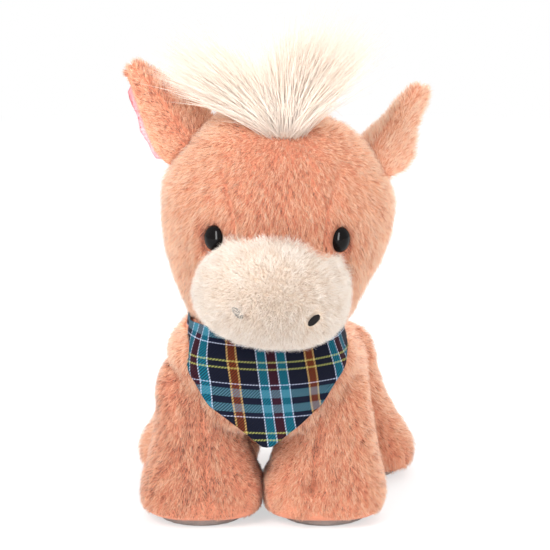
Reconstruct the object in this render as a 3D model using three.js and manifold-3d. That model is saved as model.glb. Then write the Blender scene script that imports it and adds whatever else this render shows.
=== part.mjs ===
// A standing plush horse with a large head, in millimetres. It faces -Y, with +Z up and its soles at zero.
// Covers are skins of fur fabric with filling inside, and every limb bends at its sewn seam.
import * as THREE from 'three';
import { mergeVertices } from 'three/addons/utils/BufferGeometryUtils.js';
import Module from 'manifold-3d';

const wasm = await Module();
wasm.setup();

// Clearances and cloth.
const seamGap = 0.4; // between two pieces that lie against each other
const fillGap = 0.5; // between a cover and its filling
const swingGap = 0.6; // between a limb and the body that it swings in
const furThick = 3; // fur fabric, backing and packed pile
const overrun = 5; // how far a cutting shape passes what it cuts
const weldWithin = 0.002;
const sliver = 0.05; // smaller edges than this are closed up

// The horse's own places: the shifts that centre it, its legs' middles, and the head's seam on the neck.
const stand = { shiftX: -1.5, shiftY: 8, frontX: -7, hindX: 1, frontY: -45, hindY: 60 };
const neckSeam = { x: -4.5, y: -42, z: 118 };
const headPose = { roll: 5.5, yaw: 3, swing: 20 }; // degrees

const torso = { front: -70, back: 100, z: 73, halfWidth: 58, up: 35, down: 33, frontX: -6, backX: 1 };
const chest = { low: 44, halfWidth: 53, front: 44, back: 46 };
const head = { low: -28, top: 118, halfWidth: 65, front: 61, back: 53 };
const muzzle = { x: -1.6, y: -58, z: 26, halfWidth: 43, halfHeight: 30, front: 33, back: 26 };

const leg = {
  hemZ: 4.6, pivotZ: 62, halfWidth: 34.6, halfDepth: 36, drum: 31, swing: 15,
  frontApart: 0.6, hindApart: 12.9, openingRadius: 15,
};
const sole = { halfWidth: 27, halfDepth: 31, edge: 1.4 };

const ear = {
  length: 71, halfWidth: 23, halfThick: 4.3, cup: 7, sunk: 12, swing: 20, lining: 1.3,
  rootX: 50, rootY: -1, rootZ: 93,
};
const earPoses = [ // how each ear spreads, leans back and turns about its own length, in degrees
  { side: -1, name: 'left', spread: 44, back: 12, turn: 14 },
  { side: 1, name: 'right', spread: 35, back: 33, turn: -48 },
];
const eye = {
  radius: 7.4, dome: 4.8, rim: 1, shankRadius: 2, shankLength: 13, washerRadius: 6.5, washerThick: 1.6,
  washerAt: 6.4, sunk: 0.8, outward: 43,
};
const eyePlaces = { left: { x: -37.2, z: 51.6 }, right: { x: 32.8, z: 57 } };
const nostril = { spread: 20.8, z: 17.7, halfLength: 4.8, halfWidth: 2.1, reach: 20, thick: 1.2, lean: 44 };
const forelock = { x: 5, y: -28, z: 92, lean: 14, length: 83, halfWidth: 12, halfDepth: 9 };
const mane = { halfWidth: 9, pile: 13, startY: -4, endZ: 14 };
const tail = { y: 99, z: 86, length: 62, halfWidth: 12.5, halfDepth: 8.5, hang: 16, sunk: 9, swing: 45 };
const scarf = { thick: 1.5, clear: 0.9, drop: 69.6, band: 11.2, belowSeam: 1.4 };

// Shares of a form's half sizes, each row at a height share from -1 to 1: width, front and back.
const headShares = [
  [-1, 0.86, 1.0, 0.86], [-0.6, 0.85, 0.98, 0.88], [-0.37, 0.88, 1.02, 0.93], [-0.13, 0.93, 1.05, 0.98],
  [0.12, 0.985, 1.02, 1.0], [0.33, 1.06, 0.99, 1.04], [0.54, 1.09, 0.97, 1.1], [0.74, 1.12, 0.98, 1.12],
  [0.9, 1.14, 1.0, 1.12], [1, 1.14, 1.0, 1.12],
];
const torsoShares = [ // from chest to rump: width, up and down
  [-1, 0.98, 1, 1], [-0.6, 0.95, 1, 1], [-0.2, 0.97, 1, 1], [0.2, 1.0, 1.02, 1], [0.55, 1.07, 1.1, 1.0],
  [0.85, 1.22, 1.26, 1.08], [1, 1.24, 1.3, 1.1],
];
const muzzleShares = [
  [-1, 1.0, 0.94, 1], [-0.5, 1.02, 1.0, 1], [0, 1.0, 1.0, 1], [0.5, 0.95, 0.9, 1], [1, 0.9, 0.8, 1],
];
const earShares = [
  [-1, 1.15, 1, 1], [-0.6, 1.04, 1, 1], [-0.37, 0.96, 1, 1], [0, 0.8, 1, 1], [0.3, 0.67, 1, 1],
  [0.65, 0.54, 1, 1], [0.85, 0.5, 1, 1], [1, 0.6, 1, 1],
];
const tailShares = [
  [-1, 0.9, 0.9, 0.9], [-0.5, 1.1, 1.1, 1.1], [0, 1.0, 1.0, 1.0], [0.5, 0.78, 0.8, 0.8], [1, 0.9, 0.8, 0.8],
];
const evenShares = [[-1, 1, 1, 1], [1, 1, 1, 1]];
// Up the chest: height, width, front and back shares of its largest.
const chestShares = [
  [0, 0.2, 0.7, 0.2], [0.04, 0.34, 0.8, 0.32], [0.12, 0.5, 0.9, 0.5], [0.22, 0.68, 0.96, 0.7],
  [0.35, 0.84, 1.0, 0.9], [0.5, 0.95, 1.0, 1.0], [0.68, 0.96, 1.0, 1.0], [0.78, 0.86, 0.99, 0.99],
  [0.88, 0.82, 0.98, 0.96], [1, 0.8, 0.97, 0.93],
];
// Up a leg, from its hem to its pivot: height, width, depth, and the shift towards the horse's middle.
const frontLegShares = [
  [0, 0.9, 0.92, 0], [0.05, 0.97, 0.98, 0], [0.2, 1, 1, 0], [0.4, 0.97, 0.97, -0.01], [0.6, 0.89, 0.91, -0.03],
  [0.8, 0.8, 0.87, -0.04], [1, 0.73, 0.861, -0.04],
];
const hindLegShares = [
  [0, 0.9, 0.92, 0], [0.05, 0.96, 0.98, 0], [0.2, 0.98, 1, 0], [0.4, 0.93, 0.97, 0.07], [0.6, 0.84, 0.91, 0.15],
  [0.8, 0.74, 0.87, 0.23], [1, 0.66, 0.861, 0.29],
];
const lockShares = [
  [-1, 0.7, 1, 1], [-0.4, 0.7, 1, 1], [0, 0.86, 1, 1], [0.4, 1.04, 0.9, 0.9], [0.8, 1, 0.8, 0.8], [1, 0.95, 0.8, 0.8],
];
// The forelock's locks from left to right: each one's angle, and its length and half width as shares.
const fanShares = [
  [-45, 0.964, 0.83], [-31, 0.928, 1], [-15, 0.88, 1], [0, 0.964, 1], [14, 1, 0.92], [26, 0.89, 0.75],
];
// The hanging cloth's edge from one side of the neck to its tip, as shares of half width and height.
const scarfShares = [
  [1.2, 1.1], [1.2, 0.98], [0.87, 0.82], [0.8, 0.6], [0.7, 0.45], [0.54, 0.3], [0.33, 0.17], [0.15, 0.06], [0, 0],
];
// An ear's lining against the ear.
const liningShares = { width: 0.84, length: 0.86 };

const fine = { body: 24, bodyUp: 13, leg: 18, drum: 18, drumUp: 6, small: 10, ear: 16, earUp: 10 };
const rough = { body: 16, bodyUp: 9, leg: 12, drum: 12, drumUp: 5 };
const squareLimb = 0.72;
const squareHead = 0.92;

const coralFur = { color: 0xe79f84, roughness: 0.95, metalness: 0 };
const creamFur = { color: 0xf3e6d8, roughness: 0.95, metalness: 0 };
const longPile = { color: 0xf8e9dc, roughness: 0.9, metalness: 0 };
const pinkSatin = { color: 0xe59aa6, roughness: 0.45, metalness: 0 };
const greyCloth = { color: 0x9b9592, roughness: 0.85, metalness: 0 };
const plaidCloth = { color: 0x1f4a5c, roughness: 0.8, metalness: 0 };
const blackGloss = { color: 0x0c0b0c, roughness: 0.08, metalness: 0 };
const whiteFibre = { color: 0xf7f6f2, roughness: 1, metalness: 0 };
const paleNylon = { color: 0xdfe2e4, roughness: 0.5, metalness: 0 };

const radians = THREE.MathUtils.degToRad;
const rounded = (value, square) => Math.sign(value) * Math.abs(value) ** square;

// Reads a table of shares at a place, with straight lines between its rows.
function shareAt(table, place, column) {
  const next = table.findIndex((row) => row[0] >= place);
  if (next === 0) return table[0][column];
  if (next < 0) return table[table.length - 1][column];
  const [low, high] = [table[next - 1], table[next]];
  return THREE.MathUtils.mapLinear(place, low[0], high[0], low[column], high[column]);
}

// Makes a solid of a closed geometry, with its shared points welded and its empty faces left out.
function solidOf(geometry) {
  const bare = new THREE.BufferGeometry();
  bare.setAttribute('position', geometry.getAttribute('position'));
  bare.setIndex(geometry.getIndex());
  const welded = mergeVertices(bare, weldWithin);
  const points = new Float32Array(welded.attributes.position.array);
  const faces = [];
  for (let i = 0; i < welded.index.count; i += 3) {
    const [a, b, c] = [0, 1, 2].map((corner) => welded.index.getX(i + corner));
    if (a !== b && b !== c && c !== a) faces.push([a, b, c]);
  }
  const made = (list) => new wasm.Manifold(
    new wasm.Mesh({ numProp: 3, vertProperties: points, triVerts: new Uint32Array(list.flat()) }),
  );
  const solid = made(faces);
  return solid.volume() > 0 ? solid : made(faces.map(([a, b, c]) => [a, c, b]));
}

function geometryOf(solid) {
  const { vertProperties, triVerts } = solid.getMesh();
  const geometry = new THREE.BufferGeometry();
  geometry.setAttribute('position', new THREE.BufferAttribute(new Float32Array(vertProperties), 3));
  geometry.setIndex(new THREE.BufferAttribute(new Uint32Array(triVerts), 1));
  return geometry;
}

// Moves every point of a geometry by a rule, and makes a solid of it.
function shaped(geometry, rule) {
  const points = geometry.getAttribute('position');
  const point = new THREE.Vector3();
  for (let i = 0; i < points.count; i++) {
    point.fromBufferAttribute(points, i);
    rule(point);
    points.setXYZ(i, point.x, point.y, point.z);
  }
  return solidOf(geometry);
}

const moved = (solid, matrix) => solid.transform(matrix.elements);
const joined = (solids) => solids.reduce((all, one) => all.add(one));
const shift = (x, y, z) => new THREE.Matrix4().makeTranslation(x, y, z);

// A block from one corner to the other.
function block(low, high) {
  const size = high.clone().sub(low);
  const middle = low.clone().add(high).multiplyScalar(1 / 2);
  const box = new THREE.BoxGeometry(size.x, size.y, size.z);
  return solidOf(box.translate(middle.x, middle.y, middle.z));
}

// A ball with its poles along Z, swollen by a table of shares. Its front is towards -Y.
function swollen({ halfWidth, front, back, halfHeight }, table, around, up, square) {
  const ball = new THREE.SphereGeometry(1, around, up).rotateX(Math.PI / 2);
  return shaped(ball, (p) => {
    const rim = Math.hypot(p.x, p.y);
    const wide = rim > weldWithin ? rim * rounded(p.x / rim, square) : 0;
    const deep = rim > weldWithin ? rim * rounded(p.y / rim, square) : 0;
    p.x = wide * halfWidth * shareAt(table, p.z, 1);
    p.y = deep * (deep < 0 ? front * shareAt(table, p.z, 2) : back * shareAt(table, p.z, 3));
    p.z *= halfHeight;
  });
}

// A standing column of unit radius with a ring at each row of its table, shaped by a rule of its own.
function column(table, around, rule) {
  const profile = [
    new THREE.Vector2(0, table[0][0]),
    ...table.map((row) => new THREE.Vector2(1, row[0])),
    new THREE.Vector2(0, table[table.length - 1][0]),
  ];
  return shaped(new THREE.LatheGeometry(profile, around).rotateX(Math.PI / 2), rule);
}

// The torso, from chest to rump, with its poles fore and aft.
function torsoForm(grow, detail = fine) {
  const half = (torso.back - torso.front) / 2;
  const middle = (torso.back + torso.front) / 2;
  const sizes = {
    halfWidth: torso.halfWidth + grow, front: torso.up + grow, back: torso.down + grow, halfHeight: half + grow,
  };
  const lying = moved(
    swollen(sizes, torsoShares, detail.body, detail.bodyUp, squareHead),
    new THREE.Matrix4().makeRotationX(-Math.PI / 2),
  );
  const lean = (torso.backX - torso.frontX) / (torso.back - torso.front);
  const skew = new THREE.Matrix4().set(
    1, lean, 0, (torso.frontX + torso.backX) / 2,
    0, 1, 0, middle,
    0, 0, 1, torso.z,
    0, 0, 0, 1,
  );
  return moved(lying, skew);
}

// The chest and neck: a column that narrows to a keel between the front legs.
function chestForm(grow, detail = fine) {
  const top = neckSeam.z + overrun;
  const height = top - chest.low;
  return column(chestShares, detail.body, (p) => {
    const share = p.z;
    const reach = p.y < 0 ? chest.front * shareAt(chestShares, share, 2) : chest.back * shareAt(chestShares, share, 3);
    p.x = neckSeam.x + rounded(p.x, squareLimb) * (chest.halfWidth * shareAt(chestShares, share, 1) + grow);
    p.y = neckSeam.y + rounded(p.y, squareLimb) * (reach + grow);
    p.z = top - (1 - share) * (height + grow);
  });
}

// The head in its own frame, whose origin is the middle of the neck seam.
function headSizes(grow) {
  return {
    halfWidth: head.halfWidth + grow,
    front: head.front + grow,
    back: head.back + grow,
    halfHeight: (head.top - head.low) / 2 + grow,
  };
}

function headForm(grow, detail = fine) {
  const form = swollen(headSizes(grow), headShares, detail.body, detail.bodyUp, squareHead);
  return moved(form, shift(0, 0, (head.top + head.low) / 2));
}

// How far forward the face lies at a place across and up the head.
function faceAt(x, z) {
  const { halfWidth, front, halfHeight } = headSizes(0);
  const up = (z - (head.top + head.low) / 2) / halfHeight;
  const rim = Math.sqrt(1 - up * up);
  const across = Math.min(1, Math.abs(x) / (halfWidth * rim * shareAt(headShares, up, 1))) ** (1 / squareHead);
  return -front * shareAt(headShares, up, 2) * rim * Math.sqrt(1 - across * across) ** squareHead;
}

function muzzleForm(grow, detail = fine) {
  const sizes = {
    halfWidth: muzzle.halfWidth + grow,
    front: muzzle.front + grow,
    back: muzzle.back + grow,
    halfHeight: muzzle.halfHeight + grow,
  };
  const ball = new THREE.SphereGeometry(1, detail.body, detail.bodyUp).rotateX(Math.PI / 2);
  return shaped(ball, (p) => {
    const rim = Math.hypot(p.x, p.y);
    const up = p.z;
    const full = rim > weldWithin ? rounded(rim, squareHead) / rim : 0;
    const wide = rim > weldWithin ? rim * full * rounded(p.x / rim, squareHead) : 0;
    const deep = rim > weldWithin ? rim * full * rounded(p.y / rim, squareHead) : 0;
    p.x = muzzle.x + wide * sizes.halfWidth * shareAt(muzzleShares, up, 1);
    p.y = muzzle.y + deep * (deep < 0 ? sizes.front * shareAt(muzzleShares, up, 2) : sizes.back);
    p.z = muzzle.z + rounded(up, squareHead) * sizes.halfHeight;
  });
}

// A leg in its own frame, whose origin is on its hinge: a column with a drum for its top.
function shankForm(table, side, grow, detail = fine) {
  const height = leg.pivotZ - leg.hemZ;
  return column(table, detail.leg, (p) => {
    const share = p.z;
    const inward = -side * leg.halfWidth * shareAt(table, share, 3);
    p.x = inward + rounded(p.x, squareLimb) * (leg.halfWidth * shareAt(table, share, 1) + grow);
    p.y = rounded(p.y, squareLimb) * (leg.halfDepth * shareAt(table, share, 2) + grow);
    p.z = (share - 1) * (height + grow);
  });
}

function drumForm(table, side, grow, detail = fine) {
  const middle = -side * leg.halfWidth * shareAt(table, 1, 3);
  const half = leg.halfWidth * shareAt(table, 1, 1) + grow;
  return shaped(new THREE.SphereGeometry(1, detail.drum, detail.drumUp).rotateZ(Math.PI / 2), (p) => {
    const rim = Math.hypot(p.y, p.z);
    const full = rim > weldWithin ? (leg.drum + grow) * rounded(rim, squareLimb) / rim : 0;
    p.x = middle + rounded(p.x, squareLimb) * half;
    p.y *= full;
    p.z *= full;
  });
}

function legForm(table, side, grow, detail = fine) {
  return shankForm(table, side, grow, detail).add(drumForm(table, side, grow, detail));
}

const group = new THREE.Group();
group.position.set(stand.shiftX, stand.shiftY, 0);

function addPiece(parent, name, solid, finish) {
  const clean = solid.simplify(sliver);
  const mesh = new THREE.Mesh(geometryOf(clean), new THREE.MeshStandardMaterial(finish));
  mesh.name = name;
  parent.add(mesh);
  return mesh;
}

// Poses of a hinge from one limit to the other, as turns about an axis.
function swings(limit, steps, turnOf) {
  const turns = [];
  for (let i = -steps; i <= steps; i++) turns.push(turnOf(radians(limit * i / steps)));
  return turns;
}

// Legs: each a cover with an opening at its seam with the body, its filling and its sole.
const frontSpread = leg.halfWidth + leg.frontApart;
const hindSpread = leg.halfWidth + leg.hindApart;
const legs = [
  { name: 'foreleg_left', side: -1, table: frontLegShares, x: stand.frontX - frontSpread, y: stand.frontY },
  { name: 'foreleg_right', side: 1, table: frontLegShares, x: stand.frontX + frontSpread, y: stand.frontY },
  { name: 'hindleg_left', side: -1, table: hindLegShares, x: stand.hindX - hindSpread, y: stand.hindY },
  { name: 'hindleg_right', side: 1, table: hindLegShares, x: stand.hindX + hindSpread, y: stand.hindY },
];
const sockets = [];
for (const { name, side, table, x, y } of legs) {
  const frame = new THREE.Group();
  frame.position.set(x, y, leg.pivotZ);
  group.add(frame);
  const place = shift(x, y, leg.pivotZ);
  const swept = shankForm(table, side, swingGap);
  for (const turn of swings(leg.swing, 1, (angle) => new THREE.Matrix4().makeRotationX(angle))) {
    sockets.push(moved(swept, place.clone().multiply(turn)));
  }
  sockets.push(moved(drumForm(table, side, swingGap), place));

  const mouth = new THREE.CylinderGeometry(leg.openingRadius, leg.openingRadius, leg.halfWidth, fine.small);
  mouth.rotateZ(Math.PI / 2).translate(-side * leg.halfWidth, 0, 0);
  const cover = legForm(table, side, 0).subtract(legForm(table, side, -furThick, rough)).subtract(solidOf(mouth));
  addPiece(frame, name + '_cover', cover, coralFur);
  addPiece(frame, name + '_filling', legForm(table, side, -furThick - fillGap, rough), whiteFibre);

  const soleThick = leg.hemZ - seamGap;
  const soleProfile = [
    new THREE.Vector2(0, 0),
    new THREE.Vector2(1 - 2 * sole.edge / sole.halfWidth, 0),
    new THREE.Vector2(1, soleThick / 2),
    new THREE.Vector2(1, soleThick),
    new THREE.Vector2(0, soleThick),
  ];
  const pad = new THREE.LatheGeometry(soleProfile, fine.leg).rotateX(Math.PI / 2);
  const soleSolid = shaped(pad, (p) => {
    p.x *= sole.halfWidth;
    p.y *= sole.halfDepth;
    p.z -= leg.pivotZ;
  });
  addPiece(frame, name.replace('leg', 'foot') + '_sole', soleSolid, greyCloth);
}

// The body: its cover is open at the neck and at each leg.
const legRoom = joined(sockets).simplify(4 * sliver);
const neckTop = neckSeam.z - seamGap;
const wide = head.halfWidth + head.front + overrun;
const bodyForm = (grow, detail) => torsoForm(grow, detail).add(chestForm(grow, detail));
const aboveNeck = (z) => block(new THREE.Vector3(-wide, -wide, z), new THREE.Vector3(wide, wide, 2 * neckSeam.z));
const bodySkin = bodyForm(0).subtract(bodyForm(-furThick, rough)).subtract(legRoom).subtract(aboveNeck(neckTop));
const bodyFill = bodyForm(-furThick - fillGap, rough).subtract(legRoom).subtract(aboveNeck(neckTop));
const largest = (solid) => solid.decompose().reduce((a, b) => (a.volume() > b.volume() ? a : b));
addPiece(group, 'body_cover', largest(bodySkin), coralFur);
addPiece(group, 'body_filling', largest(bodyFill), whiteFibre);

// The head's frame, rolled and turned a little on the neck, as the horse stands.
const headFrame = new THREE.Group();
headFrame.position.set(neckSeam.x, neckSeam.y, neckSeam.z);
headFrame.rotation.set(0, radians(headPose.roll), radians(headPose.yaw));
headFrame.updateMatrix();
group.add(headFrame);
const intoHead = headFrame.matrix.clone().invert();

// What the head must stay clear of at every turn: all below its seam, and the neck with its cloth.
const below = block(new THREE.Vector3(-wide, muzzle.y, -neckSeam.z), new THREE.Vector3(wide, wide, seamGap / 2));
const belowSeam = moved(below, intoHead.clone().multiply(shift(neckSeam.x, neckSeam.y, neckSeam.z)));
const neckAxis = shift(neckSeam.x, neckSeam.y, 0);
const neckReach = scarf.clear + scarf.thick + swingGap;
function neckRoom(grow) {
  const neck = chestForm(neckReach + grow).subtract(aboveNeck(neckSeam.z + grow));
  const turned = swings(headPose.swing, 2, (angle) => new THREE.Matrix4().makeRotationZ(angle)).map((turn) => {
    const about = neckAxis.clone().multiply(turn).multiply(neckAxis.clone().invert());
    return moved(neck, intoHead.clone().multiply(about));
  });
  return joined(turned);
}

// Eyes: a dome with a shank through the cover, locked by a washer inside the head.
const eyeParts = ['left', 'right'].map((name) => {
  const { x, z } = eyePlaces[name];
  const place = new THREE.Object3D();
  place.position.set(x, faceAt(x, z), z);
  place.rotation.set(0, 0, radians(Math.sign(x) * eye.outward));
  place.translateY(eye.sunk);
  place.updateMatrix();
  return { name, place };
});
function eyeForm(grow) {
  const arc = [];
  const steps = 5;
  for (let i = 0; i <= steps; i++) {
    const angle = Math.PI / 2 * i / steps;
    arc.push(new THREE.Vector2(
      i < steps ? (eye.radius + grow) * Math.cos(angle) : 0,
      -eye.rim - (eye.dome + grow) * Math.sin(angle),
    ));
  }
  return solidOf(new THREE.LatheGeometry([
    new THREE.Vector2(0, eye.shankLength + grow),
    new THREE.Vector2(eye.shankRadius + grow, eye.shankLength + grow),
    new THREE.Vector2(eye.shankRadius + grow, grow),
    new THREE.Vector2(eye.radius + grow, grow),
    ...arc,
  ], fine.small));
}
function washerForm(grow, bore) {
  return solidOf(new THREE.LatheGeometry([
    new THREE.Vector2(bore, eye.washerAt - grow),
    new THREE.Vector2(eye.washerRadius + grow, eye.washerAt - grow),
    new THREE.Vector2(eye.washerRadius + grow, eye.washerAt + eye.washerThick + grow),
    new THREE.Vector2(bore, eye.washerAt + eye.washerThick + grow),
    new THREE.Vector2(bore, eye.washerAt - grow),
  ], fine.small));
}
const eyeRoom = joined(eyeParts.map(({ place }) => moved(eyeForm(seamGap), place.matrix)));
const washerRoom = joined(eyeParts.map(({ place }) => moved(washerForm(seamGap, 0), place.matrix)));
for (const { name, place } of eyeParts) {
  const frame = new THREE.Group();
  frame.position.copy(place.position);
  frame.rotation.copy(place.rotation);
  headFrame.add(frame);
  addPiece(frame, 'eye_' + name, eyeForm(0), blackGloss);
  addPiece(frame, 'eye_washer_' + name, washerForm(0, eye.shankRadius + seamGap), paleNylon);
}

// The head and the muzzle, each a cover over one filling.
const headSkin = headForm(0).subtract(headForm(-furThick, rough)).subtract(belowSeam)
  .subtract(muzzleForm(0)).subtract(eyeRoom).subtract(washerRoom);
const muzzleSkin = muzzleForm(0).subtract(muzzleForm(-furThick, rough)).subtract(headForm(seamGap))
  .subtract(neckRoom(0)).subtract(eyeRoom);
const headFill = headForm(-furThick - fillGap, rough).subtract(belowSeam)
  .add(muzzleForm(-furThick - fillGap, rough).subtract(neckRoom(seamGap)).subtract(belowSeam))
  .subtract(eyeRoom).subtract(washerRoom);
addPiece(headFrame, 'head_cover', largest(headSkin), coralFur);
addPiece(headFrame, 'muzzle_cover', largest(muzzleSkin), creamFur);
addPiece(headFrame, 'head_filling', largest(headFill), whiteFibre);

// Nostrils: stitched almonds that follow the muzzle's front.
for (const { name, side } of [{ name: 'left', side: -1 }, { name: 'right', side: 1 }]) {
  const sizes = {
    halfWidth: nostril.halfLength, front: nostril.reach, back: nostril.reach, halfHeight: nostril.halfWidth,
  };
  const almond = swollen(sizes, evenShares, fine.small, fine.small / 2, 1);
  const place = shift(muzzle.x + side * nostril.spread, muzzle.y - muzzle.front, nostril.z)
    .multiply(new THREE.Matrix4().makeRotationY(radians(-side * nostril.lean)));
  const skin = muzzleForm(seamGap + nostril.thick).subtract(muzzleForm(seamGap));
  addPiece(headFrame, 'nostril_' + name, largest(skin.intersect(moved(almond, place))), blackGloss);
}

// Ears: cupped leaves, cut by the head at every flop, with a satin lining on the hollow side.
function earForm(grow, width = 1, length = 1) {
  const sizes = {
    halfWidth: ear.halfWidth * width + grow,
    front: ear.halfThick + grow,
    back: ear.halfThick + grow,
    halfHeight: ear.length / 2 * length + grow,
  };
  const flat = swollen(sizes, earShares, fine.ear, fine.earUp, 1);
  return flat.warp((p) => {
    p[1] += ear.cup * (p[0] / ear.halfWidth) ** 2;
    p[2] += ear.length / 2 - ear.sunk;
  });
}
for (const { side, name, spread, back, turn } of earPoses) {
  const frame = new THREE.Group();
  frame.position.set(side * ear.rootX, ear.rootY, ear.rootZ);
  frame.rotation.set(radians(-back), radians(side * spread), radians(turn), 'YXZ');
  frame.updateMatrix();
  headFrame.add(frame);
  const flop = swings(ear.swing, 2, (angle) => new THREE.Matrix4().makeRotationX(angle));
  const skull = headForm(seamGap);
  const skullRoom = joined(flop.map((one) => moved(skull, one.multiply(frame.matrix.clone().invert()))));
  addPiece(frame, 'ear_' + name, largest(earForm(0).subtract(skullRoom)), coralFur);

  const hollow = moved(
    earForm(-seamGap, liningShares.width, liningShares.length),
    shift(0, ear.halfThick, 0),
  );
  const hollowSide = hollow.add(moved(hollow, shift(0, ear.halfThick, 0)));
  const lining = earForm(seamGap + ear.lining).subtract(earForm(seamGap)).intersect(hollowSide);
  addPiece(frame, 'ear_lining_' + name, largest(lining.subtract(skullRoom)), pinkSatin);
}

// The forelock: a tuft of long pile that sweeps up and to the left.
const tuftPlace = shift(forelock.x, forelock.y, forelock.z)
  .multiply(new THREE.Matrix4().makeRotationX(radians(-forelock.lean)));
const locks = fanShares.map(([angle, lengthShare, widthShare]) => {
  const length = forelock.length * lengthShare;
  const sizes = {
    halfWidth: forelock.halfWidth * widthShare, front: forelock.halfDepth, back: forelock.halfDepth, halfHeight: length / 2,
  };
  const turned = new THREE.Matrix4().makeRotationY(radians(angle)).multiply(shift(0, 0, length / 2));
  return moved(swollen(sizes, lockShares, fine.small, fine.small, 1), tuftPlace.clone().multiply(turned));
});
const tuft = joined(locks).subtract(headForm(seamGap));
addPiece(headFrame, 'forelock', largest(tuft), longPile);

// The mane: a crest of long pile from the poll down the nape.
const crest = headForm(mane.pile).subtract(headForm(seamGap)).intersect(block(
  new THREE.Vector3(-mane.halfWidth, mane.startY, mane.endZ),
  new THREE.Vector3(mane.halfWidth, head.back + mane.pile + overrun, head.top + mane.pile + overrun),
));
addPiece(headFrame, 'mane', largest(crest), longPile);

// The tail hangs from its seam in the rump.
const tailFrame = new THREE.Group();
tailFrame.position.set(torso.backX, tail.y, tail.z);
tailFrame.rotation.set(radians(tail.hang), 0, 0);
tailFrame.updateMatrix();
group.add(tailFrame);
const tailSizes = {
  halfWidth: tail.halfWidth, front: tail.halfDepth, back: tail.halfDepth, halfHeight: tail.length / 2,
};
const tailHair = moved(
  swollen(tailSizes, tailShares, fine.small, fine.small, 1),
  shift(0, 0, tail.sunk - tail.length / 2),
);
const rump = bodyForm(seamGap);
const rumpRoom = [0, 1 / 2, 1].map((share) => moved(
  rump,
  new THREE.Matrix4().makeRotationX(radians(-tail.swing * share)).multiply(tailFrame.matrix.clone().invert()),
));
addPiece(tailFrame, 'tail', largest(tailHair.subtract(joined(rumpRoom))), longPile);

// The neck cloth: a band round the neck whose front hangs in a triangle over the chest.
const bandTop = neckSeam.z - scarf.belowSeam;
const edge = scarfShares.map(([x, z]) => new THREE.Vector2(x * chest.halfWidth, bandTop - scarf.drop * (1 - z)));
const mirrored = edge.slice(0, -1).reverse().map((p) => new THREE.Vector2(-p.x, p.y));
const front = new THREE.ExtrudeGeometry(new THREE.Shape([...edge, ...mirrored]), {
  depth: chest.front + overrun, bevelEnabled: false,
});
front.rotateX(Math.PI / 2).translate(neckSeam.x, neckSeam.y, 0);
const bandRoom = block(
  new THREE.Vector3(-wide, -wide, bandTop - scarf.band),
  new THREE.Vector3(wide, wide, bandTop),
);
const drape = chestForm(scarf.clear + scarf.thick).subtract(chestForm(scarf.clear));
const cloth = drape.intersect(solidOf(front).add(bandRoom)).subtract(aboveNeck(bandTop))
  .subtract(torsoForm(seamGap)).subtract(legRoom);
addPiece(group, 'neck_cloth', largest(cloth), plaidCloth);

export default group;
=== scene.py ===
import functools
import math

import bpy
import numpy as np
from mathutils import Matrix, Vector
from mathutils.bvhtree import BVHTree


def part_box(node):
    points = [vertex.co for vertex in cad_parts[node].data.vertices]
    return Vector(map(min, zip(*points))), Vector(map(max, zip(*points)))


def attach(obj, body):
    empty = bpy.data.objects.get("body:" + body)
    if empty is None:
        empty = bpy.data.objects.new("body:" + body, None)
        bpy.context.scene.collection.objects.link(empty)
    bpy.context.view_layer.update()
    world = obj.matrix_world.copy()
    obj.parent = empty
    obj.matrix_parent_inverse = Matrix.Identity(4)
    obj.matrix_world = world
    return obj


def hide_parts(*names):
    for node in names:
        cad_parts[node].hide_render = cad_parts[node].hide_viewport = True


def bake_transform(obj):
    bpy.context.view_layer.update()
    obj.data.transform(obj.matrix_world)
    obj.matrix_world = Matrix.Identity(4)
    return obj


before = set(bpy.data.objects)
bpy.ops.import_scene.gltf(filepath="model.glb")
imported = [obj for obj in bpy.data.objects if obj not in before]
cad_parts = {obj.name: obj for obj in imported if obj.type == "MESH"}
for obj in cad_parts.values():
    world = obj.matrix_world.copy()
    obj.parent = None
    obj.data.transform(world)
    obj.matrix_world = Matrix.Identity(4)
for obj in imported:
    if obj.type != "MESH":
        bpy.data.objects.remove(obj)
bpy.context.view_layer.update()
bpy.ops.object.select_all(action="DESELECT")
scene = bpy.context.scene
scene.tool_settings.mesh_select_mode = (False, False, True)
mm = 0.001
print("frame loaded:", len(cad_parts), "nodes")


# picking, making, editing and reading meshes
def pick(*things):
    bpy.ops.object.select_all(action="DESELECT")
    for thing in things:
        thing.select_set(True)
    bpy.context.view_layer.objects.active = things[-1]


def newPiece(name, data):
    piece = bpy.data.objects.new(name, data)
    scene.collection.objects.link(piece)
    return piece


def shadeSmooth(piece):
    pick(piece)
    bpy.ops.object.shade_smooth()


def applyAll(piece):
    pick(piece)
    for modifier in list(piece.modifiers):
        bpy.ops.object.modifier_apply(modifier=modifier.name)


def edit(piece, action, operate=None):
    # selects all of a mesh or none of it, and works on that
    pick(piece)
    bpy.ops.object.mode_set(mode="EDIT")
    bpy.ops.mesh.select_all(action=action)
    if operate:
        operate()
    bpy.ops.object.mode_set(mode="OBJECT")


def copyNodes(name, *nodeNames):
    pick(*[newPiece(name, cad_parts[nodeName].data.copy()) for nodeName in nodeNames])
    if len(nodeNames) > 1:
        bpy.ops.object.join()
    form = bpy.context.view_layer.objects.active
    form.name = name
    form.data.materials.clear()
    edit(form, "SELECT", lambda: bpy.ops.mesh.remove_doubles(threshold=0.01 * mm))
    return form


def keepLargest(form):
    name = form.name
    edit(form, "SELECT", lambda: bpy.ops.mesh.separate(type="LOOSE"))
    islands = sorted(bpy.context.selected_objects, key=lambda o: len(o.data.vertices))
    for island in islands[:-1]:
        bpy.data.objects.remove(island)
    islands[-1].name = name
    return islands[-1]


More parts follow.
